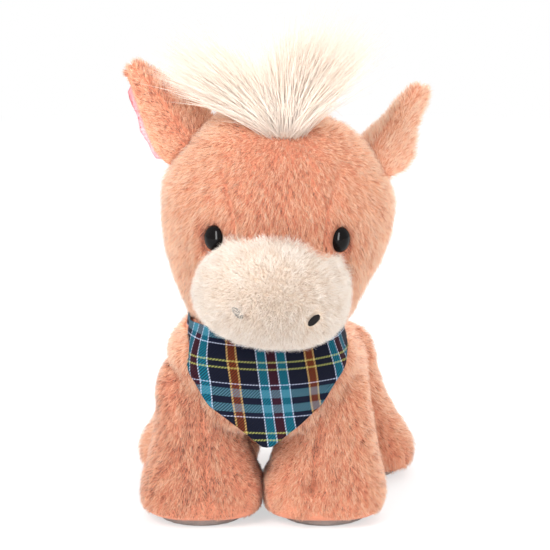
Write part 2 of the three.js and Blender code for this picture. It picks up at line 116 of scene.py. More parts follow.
def takeFaces(form, chosen):
    # the chosen faces leave for a piece of their own
    edit(form, "DESELECT")
    form.data.polygons.foreach_set("select", chosen)
    bpy.ops.object.mode_set(mode="EDIT")
    bpy.ops.mesh.separate(type="SELECTED")
    bpy.ops.object.mode_set(mode="OBJECT")
    return [o for o in bpy.context.selected_objects if o != form][0]


def closeHoles(piece):
    edit(piece, "SELECT", lambda: bpy.ops.mesh.fill_holes(sides=0))


def softened(form, voxel, rounds):
    even = form.modifiers.new("even", "REMESH")
    even.mode = "VOXEL"
    even.voxel_size = voxel * mm
    soft = form.modifiers.new("soft", "SMOOTH")
    soft.factor = 0.5
    soft.iterations = rounds
    applyAll(form)
    form = keepLargest(form)
    form.data.polygons.foreach_set("material_index", np.zeros(len(form.data.polygons), dtype=np.int32))
    shadeSmooth(form)
    return form


def readAll(items, name, kind=float):
    values = np.empty(3 * len(items), dtype=kind)
    items.foreach_get(name, values)
    return values.reshape(-1, 3)


def readMesh(piece):
    mesh = piece.data
    mesh.calc_loop_triangles()
    return (readAll(mesh.vertices, "co"), readAll(mesh.loop_triangles, "vertices", np.int32),
            readAll(mesh.vertex_normals, "vector"))


def nodePoints(name):
    return readAll(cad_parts[name].data.vertices, "co")


def treeOf(mesh):
    return BVHTree.FromPolygons([v.co for v in mesh.vertices], [p.vertices for p in mesh.polygons])


def writePoints(piece, points):
    piece.data.vertices.foreach_set("co", points.ravel())
    piece.data.update()


def dress(piece, material, body, nodes):
    piece.data.materials.append(material)
    if body:
        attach(piece, body)
    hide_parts(*nodes)


def unit(vectors):
    return vectors / np.maximum(np.linalg.norm(vectors, axis=-1, keepdims=True), 1e-12)


def alongSurface(directions, normals):
    return unit(directions - (directions * normals).sum(1, keepdims=True) * normals)


def waves(points, length, tall, seed, count=16):
    # a smooth random field of waves this long, and which way it rises
    rng = np.random.default_rng(seed)
    ways = unit(rng.normal(size=(count, 3))) * (2 * math.pi / (length * mm))
    ways = ways * rng.uniform(0.75, 1.3, (count, 1))
    ways[:, 2] /= tall
    angles = points @ ways.T + rng.uniform(0, 2 * math.pi, count)
    scale = math.sqrt(2 / count)
    return np.cos(angles).sum(1) * scale, -(np.sin(angles) @ ways) * scale


def nearness(distance, reach):
    return np.exp(-((distance / reach) ** 2))


def ramp(value, start, length):
    return np.clip((value - start) / length, 0, 1)


def bump(points, by, **spans):
    # this many millimetres at the middle that each axis gives, fading out over the reach beside it
    for axis, (middle, reach) in spans.items():
        by = by * nearness(points[:, "xyz".index(axis)] / mm - middle, reach)
    return by


# the camera looks a little down on the horse's face, and its picture is 550 pixels wide
shot = {"target": (-1.5, -35.6, 140.4), "lift": 12.0, "distance": 2500.0, "halfWidth": 156.75,
        "halfPixels": 275, "sensor": 36}


def makeCamera():
    lift = math.radians(shot["lift"])
    away = Vector((0, -math.cos(lift), math.sin(lift))) * shot["distance"] * mm
    data = bpy.data.cameras.new("camera")
    data.sensor_width = shot["sensor"]
    data.lens = shot["sensor"] / 2 * shot["distance"] / shot["halfWidth"]
    data.clip_end = 20
    scene.camera = newPiece("camera", data)
    scene.camera.location = Vector(shot["target"]) * mm + away
    scene.camera.rotation_euler = (-away).to_track_quat("-Z", "Y").to_euler()


makeCamera()

# finishes: node groups first, then one material for each surface
colour, number = "NodeSocketColor", "NodeSocketFloat"


def makeGroup(name, inputs, outputs):
    group = bpy.data.node_groups.new(name, "ShaderNodeTree")
    for socketName, kind in inputs.items():
        group.interface.new_socket(socketName, in_out="INPUT", socket_type=kind)
    for socketName, kind in outputs.items():
        group.interface.new_socket(socketName, in_out="OUTPUT", socket_type=kind)
    return group, group.nodes.new("NodeGroupInput").outputs, group.nodes.new("NodeGroupOutput")


def feed(tree, node, values):
    # a plain value is set, and a socket is linked
    for key, value in values.items():
        if isinstance(value, bpy.types.NodeSocket):
            tree.links.new(value, node.inputs[key])
        else:
            node.inputs[key].default_value = value


def addNode(tree, kind, values=None, **settings):
    node = tree.nodes.new(kind)
    for key, value in settings.items():
        setattr(node, key, value)
    feed(tree, node, values or {})
    return node


def calculated(tree, operation, *values):
    return addNode(tree, "ShaderNodeMath", dict(enumerate(values)), operation=operation).outputs[0]


def mixed(tree, share, first, second):
    values = {"Factor": share, "A": first, "B": second}
    return addNode(tree, "ShaderNodeMix", values, data_type="RGBA").outputs["Result"]


def ranged(tree, value, low, high, start=0.0, end=1.0, kind="LINEAR"):
    values = {"Value": value, "From Min": low, "From Max": high, "To Min": start, "To Max": end}
    return addNode(tree, "ShaderNodeMapRange", values, interpolation_type=kind).outputs[0]


def linear(red, green, blue):
    # a colour as it is picked on screen
    return tuple((c / 255 / 12.92) if c / 255 <= 0.04045 else ((c / 255 + 0.055) / 1.055) ** 2.4
                 for c in (red, green, blue)) + (1.0,)


def makePileColour():
    # the map's X is a strand's tone, and its Y the way from root to tip
    tones = dict.fromkeys(("Parting", "Pile", "Tip", "Fleck", "Deep"), colour)
    group, given, end = makeGroup("pile colour", {"Place": "NodeSocketVector", **tones, "Root": number},
                                  {"Color": colour})
    place = addNode(group, "ShaderNodeSeparateXYZ", {0: given["Place"]}).outputs
    # towards the root each strand takes the parting colour: painted shade down in the pile where that colour
    # is darker, painted light against the shade between hairs where it is lighter
    depth = ranged(group, place["Y"], 0.02, 0.55, 1.0, 0.0, "SMOOTHSTEP")
    tone = given["Fleck"]
    # the lowest tones take the deep shade colour: painted shade round the eyes and in the darkest seams
    for share, name in ((ranged(group, place["X"], 0.22, 0.52, kind="SMOOTHSTEP"), "Pile"),
                        (ranged(group, place["X"], 0.5, 0.95, kind="SMOOTHSTEP"), "Tip"),
                        (ranged(group, place["Y"], 0.55, 1.0, 0.0, 0.6), "Tip"),
                        (calculated(group, "MULTIPLY", depth, given["Root"]), "Parting"),
                        (ranged(group, place["X"], 0.03, 0.15, 1.0, 0.0), "Deep")):
        tone = mixed(group, share, tone, given[name])
    feed(group, end, {"Color": tone})
    return group


def makeFineGrain():
    group, given, end = makeGroup("fine grain", {"Scale": number, "Low": colour, "High": colour},
                                  {"Color": colour, "Height": number})
    place = addNode(group, "ShaderNodeTexCoord").outputs["Object"]
    values = {"Vector": place, "Scale": given["Scale"], "Detail": 3.0, "Roughness": 0.6}
    grain = addNode(group, "ShaderNodeTexNoise", values).outputs["Fac"]
    feed(group, end, {"Color": mixed(group, grain, given["Low"], given["High"]), "Height": grain})
    return group


pileColour = makePileColour()
fineGrain = makeFineGrain()


def newMaterial(name, roughness, specular, sheen=0.0):
    material = bpy.data.materials.new(name)
    material.use_nodes = True
    tree = material.node_tree
    shader = tree.nodes["Principled BSDF"]
    feed(tree, shader, {"Roughness": roughness, "Specular IOR Level": specular, "Sheen Weight": sheen})
    return material, tree, shader


def addBump(tree, shader, height, strength, distance):
    rise = addNode(tree, "ShaderNodeBump", {"Strength": strength, "Distance": distance, "Height": height})
    feed(tree, shader, {"Normal": rise.outputs["Normal"]})


def pileMaterial(name, root, sheen, **tones):
    material, tree, shader = newMaterial(name, 0.9, 0.15, sheen)
    values = {"Place": addNode(tree, "ShaderNodeUVMap", uv_map="OFBake").outputs[0], "Root": root}
    values.update({key: linear(*tone) for key, tone in tones.items()})
    group = addNode(tree, "ShaderNodeGroup", values, node_tree=pileColour)
    feed(tree, shader, {"Base Color": group.outputs["Color"]})
    return material


def grainMaterial(name, low, high, scale, bump, roughness, specular, sheen):
    material, tree, shader = newMaterial(name, roughness, specular, sheen)
    values = {"Scale": scale, "Low": linear(*low), "High": linear(*high)}
    grain = addNode(tree, "ShaderNodeGroup", values, node_tree=fineGrain).outputs
    feed(tree, shader, {"Base Color": grain["Color"]})
    addBump(tree, shader, grain["Height"], bump, 0.4 * mm)
    return material


# the parting colour is painted at the strands' roots: darker than the pile in the coral and cream fur as
# painted shade, lighter in the long pile as painted light against its shaded roots; the deep shade colour is
# painted shade
coralFur = pileMaterial("coral fur", root=0.65, sheen=0.25, Parting=(202, 118, 84), Pile=(254, 198, 159),
                        Tip=(255, 222, 196), Fleck=(219, 134, 102), Deep=(104, 44, 32))
creamFur = pileMaterial("cream fur", root=0.45, sheen=0.12, Parting=(228, 202, 180), Pile=(251, 238, 225),
                        Tip=(253, 244, 236), Fleck=(236, 216, 196), Deep=(196, 164, 144))
longPile = pileMaterial("long pile", root=0.5, sheen=0.1, Parting=(255, 244, 233), Pile=(255, 242, 230),
                        Tip=(247, 230, 214), Fleck=(251, 231, 213), Deep=(248, 225, 205))
# the coral backing is darker than the coral pile: painted shade where it shows between the strands and in the
# seams
# each row: low and high tone, scale of the grain, bump, roughness, specular, sheen
coralBacking = grainMaterial("coral backing", (205, 128, 98), (232, 158, 128), 700, 0.5, 0.95, 0.1, 0.2)
creamBacking = grainMaterial("cream backing", (206, 182, 160), (236, 218, 200), 700, 0.5, 0.95, 0.1, 0.2)
hairBacking = grainMaterial("hair backing", (248, 226, 204), (253, 240, 226), 900, 0.3, 0.95, 0.1, 0.1)
soleCloth = grainMaterial("grey brushed cloth", (122, 106, 100), (172, 156, 149), 1500, 0.6, 0.9, 0.15, 0.4)
pinkSatin = grainMaterial("pink satin", (208, 112, 124), (232, 154, 162), 500, 0.35, 0.38, 0.5, 0.3)
stitchThread = grainMaterial("nostril thread", (9, 6, 7), (26, 19, 20), 2500, 0.8, 0.7, 0.15, 0.0)
eyeBlack = grainMaterial("eye black", (9, 7, 8), (14, 11, 11), 300, 0.0, 0.09, 0.11, 0.0)
washerNylon = grainMaterial("washer nylon", (216, 220, 222), (236, 238, 240), 400, 0.15, 0.5, 0.4, 0.0)
print("materials made")

# strands of pile: closed three-sided spikes and bent hairs, many to a mesh
strand = {"flat": 0.7, "floor": 0.6, "mapWidth": 0.0012, "mapEnd": 0.004, "mapInset": 0.002}


def strandPattern(rings):
    # the faces of one strand, with their places on the map
    shape, marks = [(0, 2, 1)], [((-1, 0.0), (0, 0.03), (1, 0.0))]
    for j in range(rings):
        low, high = j / rings, (j + 1) / rings
        for k, (left, right) in enumerate(((-1, 1), (1, 0), (0, -1))):
            a, b = 3 * j + k, 3 * j + (k + 1) % 3
            if j < rings - 1:
                shape += [(a, b, b + 3), (a, b + 3, a + 3)]
                marks += [((left, low), (right, low), (right, high)),
                          ((left, low), (right, high), (left, high))]
            else:
                shape.append((a, b, 3 * rings))
                marks.append(((left, low), (right, low), (0.3 * left, high)))
    return np.array(shape), np.array(marks, dtype=float)


def strandMesh(name, bundles, material, body):
    coords, faces, maps, total = [], [], [], 0
    turns = np.radians((90, 210, 330))[:, None]
    for paths, halfWidths, tones, normals in bundles:
        count, steps = paths.shape[:2]
        if count == 0:
            continue
        rings = steps - 1
        heading = unit(np.gradient(paths, axis=1))
        side = unit(np.cross(heading, normals[:, None, :]) + 1e-9)
        lift = np.cross(side, heading)
        wide = halfWidths[:, :, None, None]
        ring = side[:, :rings, None, :] * np.cos(turns) * wide + paths[:, :rings, None, :]
        ring += lift[:, :rings, None, :] * np.sin(turns) * strand["flat"] * wide
        points = np.concatenate([ring.reshape(count, rings * 3, 3), paths[:, -1:, :]], axis=1)
        points[:, :, 2] = np.maximum(points[:, :, 2], strand["floor"] * mm)
        shape, marks = strandPattern(rings)
        a, b, c = (points[:1, shape[:, k]] for k in range(3))
        if (a * np.cross(b, c)).sum() - (points[0].mean(0) * np.cross(b - a, c - a)).sum() < 0:
            shape, marks = shape[:, ::-1], marks[:, ::-1]
        perStrand = points.shape[1]
        faces.append((total + np.arange(count)[:, None, None] * perStrand + shape[None]).reshape(-1, 3))
        placed = np.empty((count,) + marks.shape)
        tones = np.clip(tones, strand["mapEnd"], 1 - strand["mapEnd"])
        placed[..., 0] = tones[:, None, None] + marks[None, ..., 0] * strand["mapWidth"]
        placed[..., 1] = strand["mapInset"] + (1 - 2 * strand["mapInset"]) * marks[None, ..., 1]
        maps.append(placed.reshape(-1, 2))
        coords.append(points.reshape(-1, 3))
        total += count * perStrand
    coords, faces, maps = np.concatenate(coords), np.concatenate(faces), np.concatenate(maps)
    mesh = bpy.data.meshes.new(name)
    mesh.vertices.add(len(coords))
    mesh.vertices.foreach_set("co", coords.ravel())
    mesh.loops.add(faces.size)
    mesh.loops.foreach_set("vertex_index", faces.ravel().astype(np.int32))
    mesh.polygons.add(len(faces))
    mesh.polygons.foreach_set("loop_start", np.arange(0, faces.size, 3, dtype=np.int32))
    mesh.polygons.foreach_set("use_smooth", np.ones(len(faces), dtype=bool))
    mesh.update(calc_edges=True)
    mesh.uv_layers.new(name="OFBake").uv.foreach_set("vector", maps.ravel())
    mesh.materials.append(material)
    piece = newPiece(name, mesh)
    if body:
        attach(piece, body)
    print(" ", name, len(faces), "faces")
    return piece


def scatter(surface, perArea, seed):
    points, corners, normals = surface
    rng = np.random.default_rng(seed)
    a, b, c = (points[corners[:, k]] for k in range(3))
    reach = np.cumsum(np.linalg.norm(np.cross(b - a, c - a), axis=1) / 2)
    count = int(reach[-1] / mm ** 2 * perArea)
    spots = (np.arange(count) + rng.random(count)) / count * reach[-1]
    face = np.minimum(np.searchsorted(reach, spots), len(corners) - 1)
    u, v = rng.random((2, count))
    flip = u + v > 1
    u[flip], v[flip] = 1 - u[flip], 1 - v[flip]
    shares = np.stack([1 - u - v, u, v], axis=1)[:, :, None]
    return (points[corners[face]] * shares).sum(1), unit((normals[corners[face]] * shares).sum(1)), rng


laying = {
    "rooted": 0.9, "lengths": (0.72, 1.12), "widths": (0.8, 1.2), "broad": 3.1, "broadTall": 1.4,
    "broadLength": 0.08, "broadTone": 0.05, "broadPull": 0.25, "leanSpread": 6, "leans": (0.1, 1.5),
    "bentReach": 1.18, "bentWidth": 0.7, "bentTaper": 0.62,
}


def layPile(surface, coat, rule, seed):
    # roots spread evenly, then each strand's way, length and tone from its place
    points, normals, rng = scatter(surface, coat["perArea"], seed)
    count = len(points)
    spot = {"points": points, "normals": normals, "rng": rng, "keep": np.ones(count, bool),
            "length": np.ones(count), "tone": np.zeros(count), "away": np.zeros((count, 3)),
            "lean": np.zeros(count)}
    rule(spot)
    points, normals, lay, share, tone, away, extraLean = (
        spot[key][spot["keep"]] for key in ("points", "normals", "lay", "length", "tone", "away", "lean"))
    count = len(points)
    clumpValue, clumpRise = waves(points, coat["clump"], coat["tall"], 11)
    broadValue, broadRise = waves(points, coat["clump"] * laying["broad"], laying["broadTall"], 23)
    lay = unit(alongSurface(lay, normals) + away + rng.normal(scale=coat["stray"], size=(count, 3)))
    lay = alongSurface(lay, normals)
    length = coat["length"] * mm * share * rng.uniform(*laying["lengths"], count)
    length *= 1 + laying["broadLength"] * broadValue
    pull = clumpRise * (coat["clump"] * mm / (2 * math.pi)) ** 2 * coat["pull"]
    pull = pull - (pull * normals).sum(1, keepdims=True) * normals
    pull += alongSurface(broadRise, normals) * laying["broadPull"] * mm
    lean = np.radians(coat["lean"] + rng.normal(scale=laying["leanSpread"], size=count)) + extraLean
    lean = np.clip(lean, *laying["leans"])[:, None]
    tones = 0.5 + coat["vary"] * clumpValue + laying["broadTone"] * broadValue
    tones = tones + rng.normal(scale=coat["grain"], size=count) + tone
    bent = rng.random(count) < coat["bentShare"]
    bundles = []
    for chosen, reach, width in ((~bent, 1.0, 1.0), (bent, laying["bentReach"], laying["bentWidth"])):
        p, n, l, drawn, tilt = points[chosen], normals[chosen], lay[chosen], pull[chosen], lean[chosen]
        step = length[chosen, None] * reach
        if reach == 1.0:
            steps = [p + step * (n * np.cos(tilt) + l * np.sin(tilt)) + drawn]
        else:
            lower, upper = np.clip(tilt - 0.35, 0.05, 1.4), np.clip(tilt + 0.4, 0.1, 1.65)
            middle = p + 0.5 * step * (n * np.cos(lower) + l * np.sin(lower)) + 0.5 * drawn
            steps = [middle, middle + 0.55 * step * (n * np.cos(upper) + l * np.sin(upper)) + 0.6 * drawn]
        paths = np.stack([p - n * laying["rooted"] * mm] + steps, axis=1)
        taper = np.linspace(1.0, laying["bentTaper"], len(steps))[None, :]
        halfWidths = coat["halfWidth"] * width * mm * taper * rng.uniform(*laying["widths"], (len(p), 1))
        bundles.append((paths, halfWidths, tones[chosen], n))
    return bundles


def chosenBundles(bundles, test):
    return [tuple(values[test(bundle[0][:, 0])] for values in bundle) for bundle in bundles]


# the horse's own places, in millimetres
neckSeam = np.array([-6.0, -34.0, 118.0])
headTurn = Matrix.Rotation(math.radians(5.5), 4, "Y") @ Matrix.Rotation(math.radians(3), 4, "Z")
headAxes = np.array(headTurn.to_3x3())
muzzle = {"centre": (-1.6, -58, 26), "halfWidth": 43, "halfHeight": 30, "front": 33, "back": 26}
legPivots = {"foreleg_left": (-43.7, -37), "foreleg_right": (26.7, -37), "hindleg_left": (-48, 68),
             "hindleg_right": (47, 68)}
foreheadSeams = (
    [(-29.5, 208), (-26.5, 196), (-24, 185), (-22.5, 172)],
    [(35, 214), (30, 200), (27, 187), (25.3, 168)],
)
legSeams = ([(-43, 78), (-41, 40), (-38.6, 8)], [(26, 78), (23, 53), (20.7, 36), (20, 22)])
seamEnd = 3  # a seam fades out over this far past its ends
facesFront = {"leg": -0.2, "head": -0.15, "hem": -0.3}
kneeTuck = (20, 24)
faceDepth = -40


def legBody(leg):
    part, side = leg.split("_")
    return side + "_" + part


def inHead(points):
    return (points / mm - neckSeam) @ headAxes


def fromHead(local):
    return (np.asarray(local, float) @ headAxes.T + neckSeam) * mm


def toPixels(points):
    # where the camera's picture shows these places
    bpy.context.view_layer.update()
    stand = scene.camera.matrix_world
    local = (points - np.array(stand.translation)) @ np.array(stand.to_3x3())
    half = shot["halfPixels"]
    scale = shot["distance"] * half / shot["halfWidth"] / -local[:, 2]
    return half + local[:, 0] * scale, half - local[:, 1] * scale


def atPixel(x, y, tree):
    # the spot on a surface that the camera's picture shows here
    stand = scene.camera.matrix_world
    side, up, forward = (stand.to_3x3() @ Vector(axis) for axis in ((1, 0, 0), (0, 1, 0), (0, 0, -1)))
    half = shot["halfPixels"]
    scale = shot["halfWidth"] / half / shot["distance"]
    way = (forward + side * (x - half) * scale + up * (half - y) * scale).normalized()
    return np.array(tree.ray_cast(stand.translation, way)[0])


def muzzleShare(points):
    local = inHead(points) - np.array(muzzle["centre"])
    depth = np.where(local[:, 1] < 0, muzzle["front"], muzzle["back"])
    return np.sqrt((local[:, 0] / muzzle["halfWidth"]) ** 2 + (local[:, 1] / depth) ** 2
                   + (local[:, 2] / muzzle["halfHeight"]) ** 2)


def seamGap(points, line):
    # how far a point lies from a seam that runs down the front, given as (x, z) pairs from top to bottom
    line = np.array(line, float)
    z = points[:, 2] / mm
    x = np.interp(z, line[::-1, 1], line[::-1, 0])
    past = np.maximum(z - line[0, 1], 0) + np.maximum(line[-1, 1] - z, 0)
    return points[:, 0] / mm - x, past


def creased(points, normals, line, front, deep, reach):
    gap, past = seamGap(points, line)
    return points - normals * (deep * mm * nearness(gap, reach) * nearness(past, seamEnd) * front)[:, None]


def partPile(spot, gap, ways, close, away, shorter, darker=(0, 1)):
    # each pair is how much the pile changes at a gap of nothing, and over which reach
    spot["away"] += ways * (away[0] * nearness(gap, away[1]) * close)[:, None]
    spot["length"] *= 1 - shorter[0] * nearness(gap, shorter[1]) * close
    spot["tone"] -= darker[0] * nearness(gap, darker[1]) * close


def partSeam(spot, line, front, *changes):
    gap, past = seamGap(spot["points"], line)
    partPile(spot, gap, np.sign(gap)[:, None] * (1, 0, 0), nearness(past, seamEnd) * front, *changes)


# where each eye sits, read from the frame
def eyePlace(side):
    dome, washer = nodePoints("eye_" + side), nodePoints("eye_washer_" + side).mean(0)
    outward = unit(dome.mean(0) - washer)
    for _ in range(3):
        reach = (dome - washer) @ outward
        apex = dome[reach > reach.max() - 0.01 * mm].mean(0)
        outward = unit(apex - washer)
    return apex, outward


eyes = {side: eyePlace(side) for side in ("left", "right")}

# the neck cloth's edge: half width from the middle against height, then round to the nape
cloth = {
    "centre": (-6.0, -34.0), "top": 118.0, "tip": 50.0, "halfWidth": 53.0, "front": 44.0, "side": 43.0,
    "edgeAcross": (0, 3, 8, 17.5, 28.6, 31.3, 33.6, 35.6, 38.2, 41, 43, 46, 51.5), "back": 50,
    "edgeHeight": (50, 50.6, 54.9, 62.8, 73.4, 78.0, 82.8, 87.0, 91.0, 95.0, 98.0, 100.5, 102),
    "frontAngle": 80, "nape": 105.2, "napeCurve": 0.8, "clear": 2.3, "thick": 0.55, "columns": 260,
    "rows": 64, "lap": 9.0, "levels": 54, "girthAt": 98, "hem": (4.2, 0.6, 0.35), "lapLift": 1.3,
    "lapFrom": 0.86, "widest": 90, "castFrom": 160,
}


def clothEdge(angles):
    # angles from the front, in radians
    turned = np.abs((angles + math.pi) % (2 * math.pi) - math.pi)
    across = np.sin(np.minimum(turned, math.pi / 2))
    deep = np.cos(np.minimum(turned, math.pi / 2))
    x = across / np.sqrt((across / cloth["halfWidth"]) ** 2 + (deep / cloth["front"]) ** 2)
    turning, side = math.radians(cloth["frontAngle"]), cloth["edgeHeight"][-1]
    share = ramp(turned, turning, math.pi - turning)
    return np.where(turned < turning, np.interp(x, cloth["edgeAcross"], cloth["edgeHeight"]),
                    side + (cloth["nape"] - side) * share ** cloth["napeCurve"])


def underCloth(points, margin=1.5):
    x, y, z = points.T / mm
    x, y = x - cloth["centre"][0], y - cloth["centre"][1]
    edge = clothEdge(np.arctan2(x, -y))
    near = (np.abs(x) < cloth["side"] + 0.3) & (y < 0)
    near |= np.hypot(x / (cloth["side"] + 3), y / cloth["back"]) < 1.0
    return near & (z > edge + margin) & (z < cloth["top"] + 2)


# body and legs: one soft skin over the frame's solids, then parted at the legs
skin = {
    "voxel": 1.9, "rounds": 16, "feetGap": 2.6, "crease": 1.7, "creaseReach": 2.0, "drawIn": 1.5,
    "drawFrom": 14, "drawOver": 20, "drawLeast": -0.6, "shoulderFrom": -30, "hindSides": (52, 16),
    "shoulderIn": {"by": 5.2, "x": (60, 26), "z": (104, 26)},
    "shoulderOut": {"by": 6.5, "x": (-62, 24), "z": (102, 16)},
    "hindIn": {"by": 2.6, "z": (40, 26)}, "chestUp": 10.0, "chestReach": 15, "chestBottom": 30,
    "chestTop": (64, -14), "chestBack": (20, -30), "partLegs": 6.5, "partReach": 13, "partFrom": (22, 28),
    "partTo": (86, -18),
    "press": {"by": 2.3, "z": (20, 15)}, "tuck": 4.0, "tuckReach": 5,
}


def makeBodySkin():
    body = copyNodes("body_pelt", "body_cover", "body_filling")
    middle = (legPivots["foreleg_left"][0] + legPivots["foreleg_right"][0]) / 2
    legs = []
    for leg in legPivots:
        form = copyNodes("pelt_part", leg + "_cover", leg + "_filling")
        if leg.startswith("foreleg"):  # the feet press flat together and stay apart
            points = readMesh(form)[0]
            side = -1 if leg.endswith("left") else 1
            reach = (points[:, 0] - middle * mm) * side
            points[:, 0] = middle * mm + side * np.maximum(reach, skin["feetGap"] * mm)
            writePoints(form, points)
        legs.append(form)
    pick(*legs, body)
    bpy.ops.object.join()
    form = softened(bpy.context.view_layer.objects.active, skin["voxel"], skin["rounds"])
    points, _, normals = readMesh(form)
    front = normals[:, 1] < facesFront["leg"]
    for line in legSeams:
        points = creased(points, normals, line, front, skin["crease"], skin["creaseReach"])
    # the pile stands proud of the frame, so the skin under it is drawn in a little
    x, y, z = points.T / mm
    inwards = skin["drawIn"] * np.clip((z - skin["drawFrom"]) / skin["drawOver"], skin["drawLeast"], 1)
    inwards += bump(points, **skin["shoulderIn"]) * (y > skin["shoulderFrom"])
    inwards -= bump(points, **skin["shoulderOut"])
    inwards += bump(points, **skin["hindIn"]) * ramp(np.abs(x + 2), *skin["hindSides"])
    points -= normals * (inwards * mm)[:, None]
    x, y, z = points.T / mm
    across = x - middle
    rise = nearness(across, skin["chestReach"]) * ramp(z, *skin["chestTop"]) * ramp(y, *skin["chestBack"])
    points[:, 2] += skin["chestUp"] * rise * (z > skin["chestBottom"]) * mm
    # under the neck cloth the chest keeps within its width
    z, centre, side = points[:, 2] / mm, cloth["centre"][0], cloth["side"] - 1
    covered = underCloth(points, -3) & (y < 5)
    points[:, 0] = np.where(covered, np.clip(x - centre, -side, side) + centre, x) * mm
    parting = skin["partLegs"] * ramp(z, *skin["partFrom"]) * ramp(z, *skin["partTo"])
    parting -= bump(points, **skin["press"])
    points[:, 0] += np.sign(across) * parting * nearness(across, skin["partReach"]) * mm
    tuckGap = np.hypot(points[:, 0] / mm - kneeTuck[0], z - kneeTuck[1])
    points -= normals * (skin["tuck"] * mm * nearness(tuckGap, skin["tuckReach"]) * front)[:, None]
    writePoints(form, points)
    return form


def nearestNode(points, names, reach=0.006):
    best = np.full(len(points), np.inf)
    label = np.zeros(len(points), dtype=np.int32)
    for k, name in enumerate(names):
        tree = treeOf(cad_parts[name].data)
        low, high = (np.array(corner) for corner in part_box(name))
        for i in np.flatnonzero(np.all((points > low - reach) & (points < high + reach), axis=1)):
            distance = tree.find_nearest(points[i])[3]
            if distance is not None and distance < best[i]:
                best[i], label[i] = distance, k
    return label


def partSkin(form, names):
    # the faces nearest to each node leave for a piece of their own
    label = nearestNode(readAll(form.data.polygons, "center"), names)
    form.data.attributes.new("part", "INT", "FACE").data.foreach_set("value", label)
    parts = {}
    for k, name in enumerate(names[1:], start=1):
        label = np.empty(len(form.data.polygons), dtype=np.int32)
        form.data.attributes["part"].data.foreach_get("value", label)
        parts[name] = takeFaces(form, label == k)
    parts[names[0]] = form
    for part in parts.values():
        part.data.attributes.remove(part.data.attributes["part"])
    return parts


bodyForm = makeBodySkin()
bodyShape = readMesh(bodyForm)
bodyTree = BVHTree.FromPolygons(bodyShape[0].tolist(), bodyShape[1].tolist())
print("body skin:", len(bodyShape[1]), "triangles")

coralCoat = {"perArea": 2.1, "length": 5.8, "halfWidth": 0.24, "lean": 58, "clump": 3.4, "tall": 2.2,
             "pull": 0.8, "stray": 0.16, "bentShare": 0.16, "vary": 0.1, "grain": 0.15}
forelegCoat = dict(coralCoat, perArea=2.4, length=4.9, lean=52, clump=2.9, tall=1.5, stray=0.26, pull=0.85)
hindlegCoat = dict(coralCoat, perArea=1.5)
legPile = {
    "fall": (0.0, 0.08, -1.0), "hem": 6.5, "frontHem": 7.6, "hemWave": 1.3, "hemWaveLength": 13,
    "hemShare": 0.45, "hemReach": 22, "darker": (0.17, 0.07, 0.06, 0.06), "away": (0.4, 3.5),
    "shorter": (0.55, 1.9), "seamTone": 0.26, "streakTone": 0.34, "streakShare": 0.45, "seamReach": 1.7,
    "innerShorter": 0.5, "tuck": {"away": (1.0, 6), "shorter": (0.5, 2.5), "darker": (0.46, 2.8)},
}
trunkPile = {"rearFrom": 20, "rearShare": 0.56, "nape": (-6, -34, 114), "napeReach": 52,
             "betweenLegs": (-8.5, 16, 64), "betweenShorter": 0.6, "slopeTone": 0.07}


def legRule(spot, leg, darker):
    points, normals = spot["points"], spot["normals"]
    x, y, z = points.T / mm
    front = normals[:, 1] < facesFront["leg"]
    spot["lay"] = np.tile(legPile["fall"], (len(points), 1))
    hem = np.where(normals[:, 1] < facesFront["hem"], legPile["frontHem"], legPile["hem"])
    hem = hem + legPile["hemWave"] * waves(points, legPile["hemWaveLength"], 1.0, 17)[0]
    spot["keep"] &= ~underCloth(points) & (z > hem)
    share = legPile["hemShare"]
    spot["length"] *= np.clip(share + (z - hem) / legPile["hemReach"], share, 1)
    spot["tone"] -= darker
    if leg.startswith("foreleg"):
        # the pile parts at each foreleg's seam and is painted darker there, in streaks: painted shade in the
        # seam
        streaky = waves(points, 9, 1.0, 7)[0] > 0.2
        streaks = spot["rng"].random(len(x)) < legPile["streakShare"] * streaky
        seamTone = legPile["seamTone"] + legPile["streakTone"] * streaks
        partSeam(spot, legSeams[leg == "foreleg_right"], front, legPile["away"], legPile["shorter"],
                 (seamTone, legPile["seamReach"]))
        inner = np.clip(-normals[:, 0] if leg == "foreleg_right" else normals[:, 0], 0, 1)
        spot["length"] *= 1 - legPile["innerShorter"] * inner
    if leg == "foreleg_right":
        # the knee tuck: the pile turns away from the dimple and is painted darker round it, painted shade in
        # the dimple
        across, up = x - kneeTuck[0], z - kneeTuck[1]
        gap = np.hypot(across, up)
        ways = np.stack([across, 0 * across, up], 1) / np.maximum(gap, 0.5)[:, None]
        partPile(spot, gap, ways, front, **legPile["tuck"])


def trunkRule(spot):
    x, y, z = spot["points"].T / mm
    spot["lay"] = np.stack([0 * x, np.where(y > -30, 0.9, 0.1), np.full(len(x), -1.0)], 1)
    napeX, napeY, napeZ = trunkPile["nape"]
    onTop = (z > napeZ) & (np.hypot(x - napeX, y - napeY) < trunkPile["napeReach"])
    spot["keep"] &= ~underCloth(spot["points"]) & ~onTop
    spot["keep"] &= (y < trunkPile["rearFrom"]) | (spot["rng"].random(len(x)) < trunkPile["rearShare"])
    middle, reach, top = trunkPile["betweenLegs"]
    spot["length"] *= 1 - trunkPile["betweenShorter"] * nearness(x - middle, reach) * (z < top)
    # painted light and shade: the front of the trunk is painted lighter towards the left, where the key lamp
    # stands, and darker towards the right
    spot["tone"] -= trunkPile["slopeTone"] * np.clip(x / 50, -1, 1) * (y < 0)


